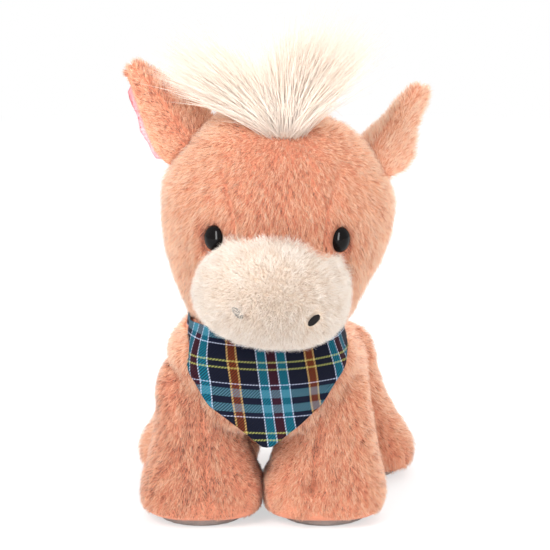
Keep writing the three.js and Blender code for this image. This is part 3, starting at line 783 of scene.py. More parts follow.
def makeBody():
    parts = partSkin(bodyForm, ["body_cover"] + [leg + "_cover" for leg in legPivots])
    trunk = parts.pop("body_cover")
    for index, leg in enumerate(legPivots):
        part = parts[leg + "_cover"]
        part.name = leg + "_pelt"
        coat = forelegCoat if leg.startswith("foreleg") else hindlegCoat
        rule = functools.partial(legRule, leg=leg, darker=legPile["darker"][index])
        bundles = layPile(readMesh(part), coat, rule, 40 + index)
        fur = strandMesh(leg + "_fur", bundles, coralFur, None)
        closeHoles(part)
        for piece in (part, fur):
            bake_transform(piece)
        dress(part, coralBacking, None, (leg + "_cover", leg + "_filling"))
    trunk.name = "body_pelt"
    bundles = layPile(readMesh(trunk), coralCoat, trunkRule, 31)
    rear = trunkPile["rearFrom"] * mm
    for name, test in (("front", lambda p: p[:, 1] < rear), ("rear", lambda p: p[:, 1] >= rear)):
        strandMesh("body_fur_" + name, chosenBundles(bundles, test), coralFur, "trunk")
    closeHoles(trunk)
    dress(trunk, coralBacking, "trunk", ("body_cover", "body_filling"))


makeBody()
print("body and legs done")

# soles: brushed cloth discs, rounded at the rim
sole = {"voxel": 1.3, "rounds": 5, "taller": 1.85, "wider": 1.3, "rimFrom": 4}


def makeSoles():
    for leg in legPivots:
        foot = leg.replace("leg", "foot")
        piece = softened(copyNodes(foot + "_pad", foot + "_sole"), sole["voxel"], sole["rounds"])
        points = readMesh(piece)[0]
        outward = points - points.mean(0)
        outward[:, 2] = 0
        rim = np.linalg.norm(outward, axis=1, keepdims=True) > sole["rimFrom"] * mm
        points += unit(outward) * sole["wider"] * mm * (points[:, 2:] / points[:, 2].max()) * rim
        points[:, 2] *= sole["taller"]
        writePoints(piece, points)
        dress(piece, soleCloth, legBody(leg), (foot + "_sole",))


makeSoles()
print("soles done")

# head: soft skin with the muzzle parted off in cream, along a line given as the picture's columns and rows
headSkin = {
    "voxel": 1.9, "rounds": 9, "crease": 1.3, "creaseReach": 1.6, "cheekIn": {"by": 2.6, "z": (136, 18)},
    "crownUp": {"by": 4.5, "x": (-27, 13)}, "cheekFrom": (22, 18), "crownFrom": (206, 16),
    "muzzleTop": ((190, 292), (192, 283), (195, 272), (198, 264), (204, 255), (210, 251), (216, 247),
                  (222, 241), (228, 236), (234, 238), (246, 240), (258, 239), (284, 240), (292, 241),
                  (300, 246), (312, 251), (320, 255), (330, 254), (336, 253), (342, 263), (348, 273),
                  (354, 292)),
    "muzzleColumns": (200, 346), "muzzleRow": 290, "muzzleGrow": 1.03, "edgeDrop": 3.5,
}
headCoat = dict(coralCoat, perArea=2.5, halfWidth=0.2, clump=2.6, tall=2.8, vary=0.12, grain=0.17)
creamCoat = dict(coralCoat, perArea=3.8, length=5.8, halfWidth=0.18, lean=50, clump=3.2, tall=1.2, stray=0.42)
headPile = {
    "whorl": (5, -20, 120), "fall": 0.75, "backwards": 0.35, "away": (0.3, 3.0), "shorter": (0.35, 1.4),
    "darker": (0.2, 1.3), "tone": 0.10, "middleTone": 0.14, "middleReach": 34, "bottom": 119,
    "rearShare": 0.53, "eyeReach": 7.1, "eyeWide": 0.86, "eyeZone": 26, "eyeAway": (0.45, 3.0),
    "eyeShorter": (0.35, 3.0), "eyeLean": (0.1, 3.0), "eyeTone": 0.16, "eyeShade": 0.5, "eyeShadeReach": 2.4,
}
muzzlePile = {
    "eyeReach": 6.9, "heartTall": 1.3, "heartReach": 24, "heartStray": 1.2, "heartLean": 0.25,
    "heartTone": 0.05, "away": (1.3, 0.8),
    "nostrils": {"left": {"along": 3.4, "across": 0.9, "shorter": (0.15, 0.8)},
                 "right": {"along": 5.6, "across": 3.4, "shorter": (0.45, 0.8)}},
}


def eyeRule(spot, reach):
    for apex, outward in eyes.values():
        offset = spot["points"] - apex
        flat = offset - (offset @ outward)[:, None] * outward
        sideways = unit(np.cross((0, 0, 1), outward)) * np.sign(apex[0])  # towards the outer side of the face
        outer = (flat @ sideways) / mm
        upright = np.maximum((flat ** 2).sum(1) / mm ** 2 - outer ** 2, 0)
        gap = np.sqrt(upright + (outer / headPile["eyeWide"]) ** 2)
        near = np.linalg.norm(offset, axis=1) / mm < headPile["eyeZone"]
        spot["keep"] &= ~((gap < reach) & near)
        past = np.maximum(gap - reach, 0)
        # painted socket shade: the pile round each eye is painted darker, most on the eye's outer side
        shade = headPile["eyeTone"] + headPile["eyeShade"] * np.clip(outer / np.maximum(gap, 1) + 0.35, 0, 1)
        partPile(spot, past, unit(flat), near, headPile["eyeAway"], headPile["eyeShorter"],
                 (shade, headPile["eyeShadeReach"]))
        much, close = headPile["eyeLean"]
        spot["lean"] -= much * nearness(past, close) * near


def headRule(spot):
    # the nap runs away from the forelock's root
    local = inHead(spot["points"])
    flow = unit(local - np.array(headPile["whorl"]))
    flow[:, 2] -= headPile["fall"]
    flow[:, 1] += np.where(local[:, 1] > headPile["whorl"][1], headPile["backwards"], 0.0)
    spot["lay"] = flow @ headAxes.T
    front = spot["normals"][:, 1] < facesFront["head"]
    # the pile parts at the forehead seams and is painted darker there: painted shade in the seams
    for line in foreheadSeams:
        partSeam(spot, line, front, headPile["away"], headPile["shorter"], headPile["darker"])
    x, y, z = spot["points"].T / mm
    # painted sheen: the head's pile is lifted lighter but its front middle is painted darker, so the cheeks
    # and sides read lighter
    middle = nearness(x - 2, headPile["middleReach"]) * front
    spot["tone"] += headPile["tone"] - headPile["middleTone"] * middle
    eyeRule(spot, headPile["eyeReach"])
    spot["keep"] &= z > headPile["bottom"]
    spot["keep"] &= (y < faceDepth) | (spot["rng"].random(len(x)) < headPile["rearShare"])


def muzzleRule(spot):
    local = inHead(spot["points"]) - np.array(muzzle["centre"])
    heart = nearness(np.hypot(local[:, 0], local[:, 2] * muzzlePile["heartTall"]), muzzlePile["heartReach"])
    stray = spot["rng"].normal(size=local.shape) * (muzzlePile["heartStray"] * heart)[:, None]
    spot["lay"] = (unit(local * (1.0, 0.25, 1.0) + (0, 0, -6)) + stray) @ headAxes.T
    spot["lean"] -= muzzlePile["heartLean"] * heart
    spot["tone"] -= muzzlePile["heartTone"] * heart
    eyeRule(spot, muzzlePile["eyeReach"])
    for side, room in muzzlePile["nostrils"].items():
        shape = nodePoints("nostril_" + side)
        centre = shape.mean(0)
        long = unit(np.linalg.svd(shape - centre)[2][0])
        offset = spot["points"] - centre
        along = offset @ long
        across = np.linalg.norm(offset - along[:, None] * long, axis=1) / mm
        gap = np.hypot(along / mm / room["along"], across / room["across"])
        spot["keep"] &= gap > 1
        partPile(spot, np.maximum(gap - 1, 0), unit(offset), 1, muzzlePile["away"], room["shorter"])


def onMuzzle(centres):
    local = inHead(centres) - np.array(muzzle["centre"])
    local = local / (muzzle["halfWidth"], muzzle["front"], muzzle["halfHeight"])
    chosen = muzzleShare(centres) < headSkin["muzzleGrow"]
    chosen |= (np.hypot(local[:, 0], local[:, 2]) < 1.0) & (local[:, 1] < -0.1)
    column, row = toPixels(centres)
    edge = np.interp(column, *np.array(headSkin["muzzleTop"], float).T) + headSkin["edgeDrop"]
    upper = (row < headSkin["muzzleRow"]) & (local[:, 1] < 0.6)
    first, last = headSkin["muzzleColumns"]
    chosen &= ~(upper & (row < edge))
    return chosen | upper & (row > edge) & (column > first) & (column < last) & (local[:, 1] < 0.1)


def makeHead():
    form = softened(copyNodes("head_pelt", "head_cover", "muzzle_cover", "head_filling"), headSkin["voxel"],
                    headSkin["rounds"])
    points, _, normals = readMesh(form)
    front = normals[:, 1] < facesFront["head"]
    for line in foreheadSeams:
        points = creased(points, normals, line, front, headSkin["crease"], headSkin["creaseReach"])
    cheek = bump(points, **headSkin["cheekIn"]) * ramp(points[:, 0] / mm, *headSkin["cheekFrom"])
    points -= normals * (mm * cheek)[:, None]
    crown = bump(points, **headSkin["crownUp"]) * ramp(points[:, 2] / mm, *headSkin["crownFrom"])
    points[:, 2] += mm * crown
    writePoints(form, points)
    shape = readMesh(form)
    nose = takeFaces(form, onMuzzle(readAll(form.data.polygons, "center")))
    nose.name = "muzzle_pelt"
    bundles = layPile(readMesh(form), headCoat, headRule, 51)
    for depth, isRear in (("front", False), ("rear", True)):
        for side, isRight in (("left", False), ("right", True)):
            chosen = chosenBundles(bundles, lambda p: ((p[:, 1] >= faceDepth * mm) == isRear)
                                   & ((p[:, 0] >= 0) == isRight))
            strandMesh("head_fur_" + depth + "_" + side, chosen, coralFur, "head")
    bundles = layPile(readMesh(nose), creamCoat, muzzleRule, 52)
    strandMesh("muzzle_fur", bundles, creamFur, "head")
    for piece, backing, slot, nodes in ((form, coralBacking, "coral_fur", ("head_cover", "head_filling")),
                                        (nose, creamBacking, "cream_fur", ("muzzle_cover",))):
        closeHoles(piece)
        dress(piece, backing, "head", nodes)
    return shape


headShape = makeHead()
headTree = BVHTree.FromPolygons(headShape[0].tolist(), headShape[1].tolist())
print("head done")

# eyes: polished domes on a short rim
eye = {"radius": 7.3, "dome": 4.9, "rim": 1.2, "narrow": 0.84}


def makeEyes():
    for side, (apex, outward) in eyes.items():
        centre = Vector(apex - outward * eye["dome"] * mm)
        bpy.ops.mesh.primitive_uv_sphere_add(segments=64, ring_count=32, radius=eye["radius"] * mm)
        piece = bpy.context.active_object
        piece.name = "eye_dome_" + side
        points = readMesh(piece)[0]
        points[:, 2] *= np.where(points[:, 2] > 0, eye["dome"], eye["rim"]) / eye["radius"]
        points[:, 0] *= eye["narrow"]
        writePoints(piece, points)
        turn = Vector(outward).to_track_quat("Z", "Y").to_matrix().to_4x4()
        piece.data.transform(Matrix.Translation(centre) @ turn)
        shadeSmooth(piece)
        dress(piece, eyeBlack, "head", ("eye_" + side,))
        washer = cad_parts["eye_washer_" + side]
        washer.data.materials.clear()
        washer.data.materials.append(washerNylon)


makeEyes()

# nostrils: padded almonds of satin stitch, the left one nearly lost in the pile
stitch = {"left": {"stand": 0.1, "turn": 0, "wider": 0.0}, "right": {"stand": 1.2, "turn": 9, "wider": 0.3}}


def makeNostrils():
    for side, values in stitch.items():
        piece = copyNodes("nostril_stitch_" + side, "nostril_" + side)
        puff = piece.modifiers.new("puff", "SUBSURF")
        puff.levels = puff.render_levels = 2
        applyAll(piece)
        points = readMesh(piece)[0]
        centre = points.mean(0)
        outward = unit(centre - fromHead(muzzle["centre"]))
        turn = np.array(Matrix.Rotation(math.radians(values["turn"]), 3, Vector(outward)))
        short = np.cross(outward, unit(np.linalg.svd(points - centre)[2][0]))
        points = points + ((points - centre) @ short)[:, None] * short * values["wider"]
        points = centre + (points - centre) @ turn.T + outward * values["stand"] * mm
        writePoints(piece, points)
        shadeSmooth(piece)
        dress(piece, stitchThread, "head", ("nostril_" + side,))


makeNostrils()
print("eyes and nostrils done")

# ears: cupped leaves, furred outside, lined with satin, which turns round the left one's outer edge
earSkin = {
    "voxel": 1.1, "rounds": 5, "satinVoxel": 0.8, "satinRounds": 3, "root": (50, -1, 93), "down": -0.3,
    "right": {"by": -0.3, "at": (0.56, 0.26)}, "left": {"by": -2.0, "at": (0.5, 0.34), "over": 8},
    "knob": 0.3, "knobAt": (0.97, 0.08), "lip": 2.4, "lipReach": 8.0, "lipFade": 3.5, "lipForward": 1.0,
    "lipWave": 0.2, "lipWaveLength": 18,
}
earCoat = dict(coralCoat, perArea=3.2, length=4.8, halfWidth=0.2, clump=2.8, tall=1.4, lean=56, stray=0.24)
earPile = {"outwards": 0.45, "liningGap": 1.6, "middleTone": 0.16, "middleReach": 9, "left": 0.02,
           "right": 0.24, "edgeReach": 2.2, "edgeTop": 0.92, "edgeLay": 1.1, "edgeShorter": 0.6}


def makeEar(side, sign):
    form = softened(copyNodes("ear_leaf_" + side, "ear_" + side), earSkin["voxel"], earSkin["rounds"])
    satin = softened(copyNodes("ear_satin_" + side, "ear_lining_" + side), earSkin["satinVoxel"],
                     earSkin["satinRounds"])
    points = readMesh(form)[0]
    root = fromHead(np.array(earSkin["root"]) * (sign, 1, 1))
    far = points[np.linalg.norm(points - root, axis=1).argmax()]
    tall = np.linalg.norm(far - root)
    axis = (far - root) / tall
    outer = alongSurface(np.array([[sign, 0, earSkin["down"]]]), axis[None])[0]

    def places(spots):
        return (spots - root) @ axis / tall, (spots - root) @ outer / mm

    def shaped(spots):
        up, beside = places(spots)
        bend = earSkin[side]
        wide = np.clip(beside / bend["over"], 0, 1) if "over" in bend else beside
        middle, reach = bend["at"]
        top, topReach = earSkin["knobAt"]
        change = bend["by"] * wide * nearness(up - middle, reach)
        change += earSkin["knob"] * beside * nearness(up - top, topReach)
        return spots + outer * (change * mm)[:, None]

    points = shaped(points)
    writePoints(form, points)
    up, beside = places(points)
    steps = np.linspace(0, 1, 26)
    rim = np.array([beside[np.abs(up - step) < 0.04].max(initial=0) for step in steps])
    inside = shaped(readMesh(satin)[0])
    writePoints(satin, inside)
    liningTree = treeOf(satin.data)
    if side == "left":
        up, beside = places(inside)
        gap = np.interp(up, steps, rim) - beside
        share = ramp(gap, earSkin["lipReach"], -earSkin["lipFade"])
        share = share * share * (3 - 2 * share) * ramp(up, 0.02, 0.12) * ramp(up, 0.9, -0.08)
        ragged = 1 + earSkin["lipWave"] * waves(inside, earSkin["lipWaveLength"], 1.0, 5)[0]
        inside = inside + outer * (share * (gap + earSkin["lip"] * ragged) * mm)[:, None]
        inside[:, 1] -= share * earSkin["lipForward"] * mm
        writePoints(satin, inside)

    def rule(spot):
        spots = spot["points"]
        middle = root + axis * ((spots - root) @ axis)[:, None]
        spot["lay"] = axis + earPile["outwards"] * alongSurface(spots - middle, spot["normals"])
        spot["keep"] &= np.array([liningTree.find_nearest(p)[3] for p in spots]) >= earPile["liningGap"] * mm
        spot["keep"] &= muzzleShare(spots) > 1
        # painted shade: the pile is painted darker near the ear's middle
        deep = nearness(np.linalg.norm(spots - middle, axis=1) / mm, earPile["middleReach"])
        spot["tone"] += earPile[side] - earPile["middleTone"] * deep
        if side == "left":
            up, beside = places(spots)
            gap = np.interp(up, steps, rim) - beside
            edge = nearness(np.maximum(gap - 1, 0), earPile["edgeReach"]) * (up < earPile["edgeTop"])
            spot["lay"] -= earPile["edgeLay"] * edge[:, None] * outer
            spot["length"] *= 1 - earPile["edgeShorter"] * edge

    body = side + "_ear"
    strandMesh("ear_fur_" + side, layPile(readMesh(form), earCoat, rule, 61), coralFur, body)
    dress(form, coralBacking, body, ("ear_" + side,))
    dress(satin, pinkSatin, body, ("ear_lining_" + side,))


makeEar("left", -1)
makeEar("right", 1)
print("ears done")

# forelock: long silky locks that fan out from the crown in two lobes, with a thinner place between them
forelock = {
    "root": (285, 130), "halfAcross": 8.2, "halfDeep": 5.0, "sunk": 2.0, "tilt": 9, "spread": 10,
    "locks": 196, "perLock": 56, "halfWidth": 0.18, "lobes": ((-60, -37), (-9, 44)) * 3 + ((-38, -8),),
    "fan": (-60, -56, -50, -44, -38, -30, -21, -12, -6, 4, 10, 25, 38, 46, 53, 60),
    "reach": (56, 76, 77, 77, 67, 54, 45, 50, 60, 66, 70, 74, 70, 58, 41, 26), "top": 303.8, "topSpread": 5,
    "rootSpread": (2.4, 1.8, 1.2), "taper": (1.0, 1.0, 0.8), "frizz": 0.25, "facing": 0.3, "facingUp": 0.45,
    "core": 2.6, "coreAcross": (0.3, 0.68), "coreGrow": 30, "coreDeep": 0.3, "coreBack": 1.5,
    "coreLower": 0.2, "rootNoise": 1.2, "rootFan": 0.85, "fanNoise": (5, 7), "tiltNoise": 4.5, "heart": 0.15,
    "lockLengths": (0.84, 1.06), "hairLengths": (3.2, 1.2, 1.2), "hairLimits": (0.35, 1.06), "curl": 0.045,
    "bend": (0.07, 0.02, -0.07, -0.06), "straight": 0.9,
}


def makeCore(name, node, thinner):
    core = softened(copyNodes(name, node), 1.6, 4)
    thin = core.modifiers.new("thin", "DISPLACE")
    thin.strength = -thinner * mm
    thin.mid_level = 0
    applyAll(core)
    return softened(core, 1.3, 2)


def makeLock(k, rng, spot):
    lobes = forelock["lobes"]
    low, high = lobes[k % len(lobes)]
    fan = low + (high - low) * (k // len(lobes) + rng.random()) * len(lobes) / forelock["locks"]
    turn = math.radians(fan)
    deep = rng.uniform(-1, 1)
    tall = np.interp(fan, forelock["fan"], forelock["reach"])
    count = forelock["perLock"]
    rootAcross = np.sin(turn) * forelock["rootFan"] * forelock["halfAcross"]
    rootAcross += rng.normal() * forelock["rootNoise"]
    root = spot + np.array([rootAcross, deep * forelock["halfDeep"], -forelock["sunk"]]) * mm
    roots = root + rng.normal(size=(count, 3)) * forelock["rootSpread"] * np.array(mm)
    angle = np.radians(fan + rng.normal(scale=forelock["fanNoise"][fan >= -30], size=count))
    back = forelock["tilt"] + forelock["spread"] * deep
    tilt = np.radians(back + rng.normal(scale=forelock["tiltNoise"], size=count))
    ways = unit(np.stack([np.sin(angle), np.sin(tilt), np.cos(angle)], 1))
    # each lock draws together a little towards its tip and bends over to its own side
    heart = unit(np.array([math.sin(turn), math.sin(math.radians(back)), math.cos(turn)]))
    ways = unit(ways * (1 - forelock["heart"]) + heart * forelock["heart"])
    first, second, grow = forelock["hairLengths"]
    lengths = tall * rng.uniform(*forelock["lockLengths"]) * mm
    lengths = lengths * np.clip(rng.beta(first, second, count) * grow, *forelock["hairLimits"])
    aside, deepSway, down, downAside = forelock["bend"]
    bend = np.array([math.copysign(aside, fan), deepSway * rng.normal(), down + downAside * abs(fan) / 60])
    curls = (bend + rng.normal(scale=forelock["curl"], size=(count, 3))) * lengths[:, None]
    steps = len(forelock["taper"]) + 1
    t = np.linspace(0, 1, steps)[None, :, None]
    far = lengths[:, None, None]
    ways = unit(ways - bend * forelock["straight"])
    paths = roots[:, None] + ways[:, None] * far * t + curls[:, None] * t ** 2
    paths += rng.normal(scale=forelock["frizz"] * mm, size=(count, steps, 3)) * t * (far / 20)
    ceiling = (forelock["top"] - forelock["topSpread"] * rng.random((count, 1)) ** 2) * mm
    over = np.maximum(paths[:, -1:, 2] - ceiling, 0)
    paths[:, :, 2] -= over * t[:, :, 0] ** 2
    widths = rng.uniform(0.8, 1.2, (count, 1))
    tones = 0.5 + rng.normal(scale=0.12, size=count) + 0.04 * rng.normal()
    return "front" if deep < 0 else "back", (paths, widths, tones)


def makeForelock():
    bpy.context.view_layer.update()
    rng = np.random.default_rng(71)
    spot = atPixel(*forelock["root"], headTree)
    locks = {"front": [], "back": []}
    for k in range(forelock["locks"]):
        depth, lock = makeLock(k, rng, spot)
        locks[depth].append(lock)
    for name, group in locks.items():
        paths, widths, tones = (np.concatenate([lock[k] for lock in group]) for k in range(3))
        facing = rng.uniform(-1, 1, len(paths)) * (0.0 if name == "front" else forelock["facing"])
        normals = np.stack([np.sin(facing), -np.cos(facing), np.full(len(paths), forelock["facingUp"])], 1)
        widths = widths * np.array(forelock["taper"]) * forelock["halfWidth"] * mm
        strandMesh("forelock_hair_" + name, [(paths, widths, tones, normals)], longPile, "head")
    core = makeCore("forelock_core", "forelock", forelock["core"])
    points = readMesh(core)[0] - spot  # a thin heart that the hair covers from every side
    above = np.maximum(points[:, 2], 0)
    narrow, wide = forelock["coreAcross"]
    points[:, 0] *= np.clip(narrow + above / (forelock["coreGrow"] * mm), narrow, wide)
    points[:, 1] = points[:, 1] * forelock["coreDeep"] + forelock["coreBack"] * mm
    points[:, 2] -= forelock["coreLower"] * above
    writePoints(core, points + spot)
    dress(core, hairBacking, "head", ("forelock",))


makeForelock()
print("forelock done")

# mane and tail: a soft core under long pile, in locks that fall to either side
maneCoat = {"perArea": 1.05, "length": 25, "halfWidth": 0.2, "lock": 9.0, "core": 1.6}
tailCoat = {"perArea": 1.3, "length": 24, "halfWidth": 0.2, "lock": 8.0, "core": 2.4}
falling = {"rooted": 0.8, "stray": 0.12, "sway": 0.30, "swayLength": 2.2, "rise": 0.16, "riseSpread": 0.06,
           "gather": 0.9, "fall": (0, 0, -0.25), "frizz": 0.2, "taper": (0.9, 1.0, 0.85, 0.6), "clear": 0.5,
           "clearSpread": 1.6, "pullTone": 0.09, "swayTone": 0.06, "grain": 0.14}


def fallingHair(name, core, coat, ways, shares, body, seed):
    points, normals, rng = scatter(readMesh(core), coat["perArea"], seed)
    count = len(points)
    sway = waves(points, coat["lock"] * falling["swayLength"], 1.6, seed + 1)[0]
    pull, pullRise = waves(points, coat["lock"], 3.0, seed + 2)
    lay = alongSurface(unit(ways(points) + rng.normal(scale=falling["stray"], size=(count, 3))), normals)
    lay = unit(lay + np.cross(normals, lay) * (falling["sway"] * sway)[:, None])
    length = coat["length"] * mm * shares(points) * np.clip(rng.beta(4, 1.6, count) * 1.2, 0.35, 1.05)
    length = length[:, None, None]
    t = np.linspace(0, 1, len(falling["taper"]) + 1)[None, :, None]
    rising = normals * (falling["rise"] + falling["riseSpread"] * rng.normal(size=(count, 1)))
    gather = pullRise * (coat["lock"] * mm / (2 * math.pi)) ** 2 * falling["gather"]
    gather -= (gather * normals).sum(1, keepdims=True) * normals
    drop = np.array(falling["fall"]) - normals * falling["rise"]
    paths = ((points - normals * falling["rooted"] * mm)[:, None] + (lay + rising)[:, None] * length * t
             + drop[:, None] * length * t ** 2 + gather[:, None] * t)
    clear = (falling["clear"] + falling["clearSpread"] * rng.random((count, 1, 1))) * mm
    paths[:, 1:] += normals[:, None] * clear * np.minimum(2 * t[:, 1:], 1)
    paths += rng.normal(scale=falling["frizz"] * mm, size=paths.shape) * t
    widths = rng.uniform(0.8, 1.2, (count, 1)) * np.array(falling["taper"]) * coat["halfWidth"] * mm
    tones = 0.5 + falling["pullTone"] * pull + falling["swayTone"] * sway
    tones = tones + rng.normal(scale=falling["grain"], size=count)
    strandMesh(name, [(paths, widths, tones, normals)], longPile, body)


def makeMane():
    core = makeCore("mane_core", "mane", maneCoat["core"])
    middle = readMesh(core)[0].mean(0)

    def ways(points):
        side = (points[:, 0] - middle[0]) / (9 * mm)
        front = ramp(points[:, 1], points[:, 1].min(), 24 * mm)
        return np.stack([0.55 * side, 0.9 * front - 0.45, 0.2 - 1.2 * front], 1)

    fallingHair("mane_hair", core, maneCoat, ways, lambda points: 1.0, "head", 81)
    dress(core, creamBacking, "head", ("mane",))


def makeTail():
    core = makeCore("tail_core", "tail", tailCoat["core"])
    fallingHair("tail_hair", core, tailCoat, lambda points: np.tile((0.0, 0.22, -1.0), (len(points), 1)),
                lambda points: np.clip((points[:, 2] / mm - 16) / 30, 0.5, 1), "dock", 91)
    dress(core, creamBacking, "dock", ("tail",))


makeMane()
makeTail()
print("mane and tail done")

# the neck cloth: plaid cotton round the neck, its front corner hanging over the chest
plaid = {
    "across": 20.7, "down": 20.35, "lean": 0.126, "sag": 4.0, "firstLine": 37.3, "yarn": 0.8, "above": 4,
    "warp": ((0.0, (58, 12, 24)), (2.4, (172, 182, 204)), (3.0, (8, 104, 126)), (7.5, (172, 182, 204)),
             (8.1, (7, 13, 33)), (17.8, (184, 146, 88)), (18.8, (112, 48, 8))),
    "weft": ((0.0, (7, 13, 33)), (1.9, (68, 110, 126)), (6.6, (7, 13, 33)), (9.0, (172, 180, 204)),
             (9.6, (6, 8, 22)), (17.8, (146, 148, 80)), (18.8, (6, 8, 20))),
}


def makePlaidMaterial(width, depth):
    material, tree, shader = newMaterial("plaid cotton", 0.9, 0.08, 0.06)
    place = addNode(tree, "ShaderNodeUVMap", uv_map="OFBake").outputs[0]
    place = addNode(tree, "ShaderNodeSeparateXYZ", {0: place}).outputs

    def stripes(distance, half, sett):
        bands = addNode(tree, "ShaderNodeValToRGB").color_ramp
        bands.interpolation = "CONSTANT"
        for k, (at, tone) in enumerate(sett):
            element = bands.elements[k] if k < 2 else bands.elements.new(at / half)
            element.position, element.color = at / half, linear(*tone)
        node = tree.nodes[-1]
        share = calculated(tree, "MULTIPLY", calculated(tree, "PINGPONG", distance, half), 1 / half)
        feed(tree, node, {0: share})
        return node.outputs["Color"]

    # the map is stored as shares of the cloth's own width and depth
    across = calculated(tree, "MULTIPLY_ADD", place["X"], width, -width / 2)
    down = calculated(tree, "MULTIPLY_ADD", place["Y"], -depth, depth - plaid["above"] - plaid["firstLine"])
    warp, weft = stripes(across, plaid["across"], plaid["warp"]), stripes(down, plaid["down"], plaid["weft"])
    slant = calculated(tree, "MULTIPLY", calculated(tree, "ADD", across, down), math.pi / plaid["yarn"])
    wave = calculated(tree, "SINE", slant)
    feed(tree, shader, {"Base Color": mixed(tree, ranged(tree, wave, -0.7, 0.7, 0.16, 0.84), warp, weft)})
    addBump(tree, shader, wave, 0.35, 0.2 * mm)
    return material


def bodyReach(angles, heights):
    # how far out the body reaches at each height, all round, evened out
    centre, columns, out = np.array(cloth["centre"]), len(angles), cloth["castFrom"]
    reach = np.full((len(heights), columns), np.nan)
    for j, angle in enumerate(angles):
        way = np.array([math.sin(angle), -math.cos(angle)])
        start, back = (centre + way * out) * mm, Vector((-way[0], -way[1], 0))
        for i, z in enumerate(heights):
            hit = bodyTree.ray_cast(Vector((start[0], start[1], z * mm)), back, out * mm)
            if hit[0] is not None:
                reach[i, j] = out - hit[3] / mm
        good = ~np.isnan(reach[:, j])
        reach[:, j] = np.interp(np.arange(len(heights)), np.flatnonzero(good), reach[good, j])
    sideways = cloth["side"] / np.maximum(np.abs(np.sin(angles)), 0.01)
    limit = np.minimum(sideways, np.where(np.cos(angles) < 0, cloth["back"], cloth["widest"]))
    # below its widest place the cloth hangs straight
    reach = np.maximum.accumulate(np.minimum(reach, limit[None, :]), axis=0)
    kernel = np.exp(-np.linspace(-2, 2, 13) ** 2)
    kernel /= kernel.sum()
    for _ in range(2):
        padded = np.concatenate([reach[:, -7:-1], reach, reach[:, 1:7]], axis=1)
        reach = np.stack([np.convolve(row, kernel, "valid") for row in padded])
        tall = np.concatenate([reach[:1]] * 6 + [reach] + [reach[-1:]] * 6, axis=0)
        reach = np.stack([np.convolve(column, kernel, "valid") for column in tall.T], axis=1)
    return reach


def clothLift(angles, depth, drop):
    side = np.abs(np.sin(angles))
    folds = (0.7 * np.sin(angles * 7 + 0.8) * np.minimum(depth / 22, 1) * side
             + 0.5 * np.sin(angles * 15 + depth * 0.05) * side ** 2
             + 0.5 * np.sin(depth * 0.22 + angles * 3) * np.minimum(depth / 30, 1) * (0.3 + side))
    wide, fade, thick = cloth["hem"]
    hem = ramp(depth, drop - wide, fade) * thick
    lap = ramp(angles, math.pi * cloth["lapFrom"], math.pi * 0.16) ** 0.5
    return cloth["clear"] + folds + hem + cloth["lapLift"] * lap


def makeCloth():
    columns, rows, top = cloth["columns"], cloth["rows"], cloth["top"]
    turn = math.pi + math.radians(cloth["lap"])
    angles = np.linspace(-turn, turn, columns)
    heights = np.linspace(top, cloth["tip"] - 2, cloth["levels"])
    reach = bodyReach(angles, heights)
    drop = (top - clothEdge(angles))[None, :]
    depth = drop * np.linspace(0, 1, rows)[:, None]
    z = top - depth
    radius = np.stack([np.interp(-z[:, j], -heights, reach[:, j]) for j in range(columns)], axis=1)
    radius = radius + clothLift(angles[None, :], depth, drop)
    x, y = cloth["centre"][0] + radius * np.sin(angles), cloth["centre"][1] - radius * np.cos(angles)
    coords = np.stack([x, y, z], axis=2).reshape(-1, 3)
    girth = reach[np.argmin(np.abs(heights - cloth["girthAt"]))]
    across = np.concatenate([[0], np.cumsum(np.diff(angles) * (girth[1:] + girth[:-1]) / 2)])
    across -= np.interp(0, angles, across)
    mapAcross = across[None, :] - plaid["lean"] * depth
    mapDown = depth - plaid["sag"] * np.maximum(np.cos(angles), 0) ** 2
    width, tall = 2 * np.abs(mapAcross).max() + 2, mapDown.max() + plaid["above"] + 2
    uv = np.stack([mapAcross / width + 0.5, 1 - (mapDown + plaid["above"]) / tall], axis=2).reshape(-1, 2)
    i, j = np.meshgrid(np.arange(rows - 1), np.arange(columns - 1), indexing="ij")
    corner = i * columns + j
    quads = np.stack([corner, corner + columns, corner + columns + 1, corner + 1], 2).reshape(-1, 4)
    mesh = bpy.data.meshes.new("neck_scarf")
    mesh.from_pydata((coords * mm).tolist(), [], quads.tolist())
    mesh.uv_layers.new(name="OFBake").uv.foreach_set("vector", uv[quads.ravel()].ravel())
    piece = newPiece("neck_scarf", mesh)
    thick = piece.modifiers.new("thick", "SOLIDIFY")
    thick.thickness = cloth["thick"] * mm
    thick.offset = 0
    applyAll(piece)
    shadeSmooth(piece)
    dress(piece, makePlaidMaterial(width, tall), "trunk", ("neck_cloth",))


makeCloth()
print("neck cloth done")

# floor, backdrop and studio light
white = (1, 1, 1, 1)
studio = {
    "world": 0.95, "floor": 14, "floorTone": 0.9, "floorGlow": 0.6, "floorFade": (0.35, 1.3),
    "aim": (0, 0, 0.14),
    "lamps": {"key": {"place": (-1.0, -1.2, 1.4), "size": 1.2, "power": 36.0},
              "fill": {"place": (1.5, -0.8, 1.0), "size": 1.4, "power": 14.8},
              "back": {"place": (0.5, 1.7, 1.3), "size": 1.6, "power": 32.0},
              "strip": {"place": (-0.02, -1.9, 0.7), "size": 0.65, "power": 150.0, "tall": 3.0}},
}


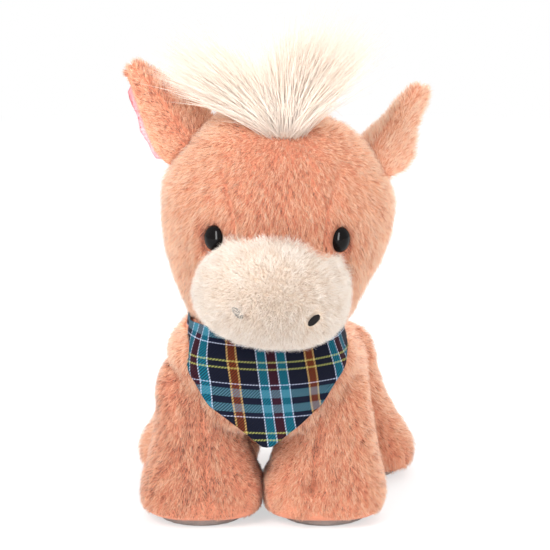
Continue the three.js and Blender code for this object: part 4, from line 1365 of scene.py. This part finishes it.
def makeFloor():
    bpy.ops.mesh.primitive_plane_add(size=studio["floor"], location=(0, 0, 0))
    floor = bpy.context.active_object
    floor.name = "floor"
    material, tree, shader = newMaterial("white floor", 0.9, 0.0)
    shader.inputs["Base Color"].default_value = (studio["floorTone"],) * 3 + (1,)
    # far out the floor runs into the white of the backdrop
    place = addNode(tree, "ShaderNodeTexCoord").outputs["Object"]
    away = addNode(tree, "ShaderNodeVectorMath", {0: place}, operation="LENGTH").outputs["Value"]
    glow = ranged(tree, away, *studio["floorFade"], studio["floorGlow"], 1.0)
    seen = addNode(tree, "ShaderNodeLightPath").outputs["Is Camera Ray"]
    emission = addNode(tree, "ShaderNodeEmission", {"Color": white, "Strength": 1.0}).outputs[0]
    values = {0: calculated(tree, "MULTIPLY", seen, glow), 1: shader.outputs[0], 2: emission}
    mix = addNode(tree, "ShaderNodeMixShader", values)
    feed(tree, tree.nodes["Material Output"], {"Surface": mix.outputs[0]})
    floor.data.materials.append(material)


def makeWorld():
    scene.world = bpy.data.worlds.new("studio")
    scene.world.use_nodes = True
    tree = scene.world.node_tree
    tree.nodes.remove(tree.nodes["Background"])
    soft, seen = (addNode(tree, "ShaderNodeBackground", {"Color": white, "Strength": strength}).outputs[0]
                  for strength in (studio["world"], 1.0))
    rays = addNode(tree, "ShaderNodeLightPath").outputs["Is Camera Ray"]
    mix = addNode(tree, "ShaderNodeMixShader", {0: rays, 1: soft, 2: seen})
    feed(tree, tree.nodes["World Output"], {"Surface": mix.outputs[0]})


def makeLamps():
    for name, lamp in studio["lamps"].items():
        data = bpy.data.lights.new(name, "AREA")
        data.energy = lamp["power"]
        data.size = lamp["size"]
        light = newPiece(name, data)
        light.location = lamp["place"]
        way = Vector(studio["aim"]) - Vector(lamp["place"])
        light.rotation_euler = way.to_track_quat("-Z", "Y").to_euler()
        if "tall" in lamp:  # the strip is only for the eyes' glint
            data.shape = "RECTANGLE"
            data.size_y = lamp["tall"]
            light.visible_diffuse = False
        else:
            light.visible_glossy = False


makeFloor()
makeWorld()
makeLamps()
scene.view_settings.view_transform = "Standard"
print("studio done")
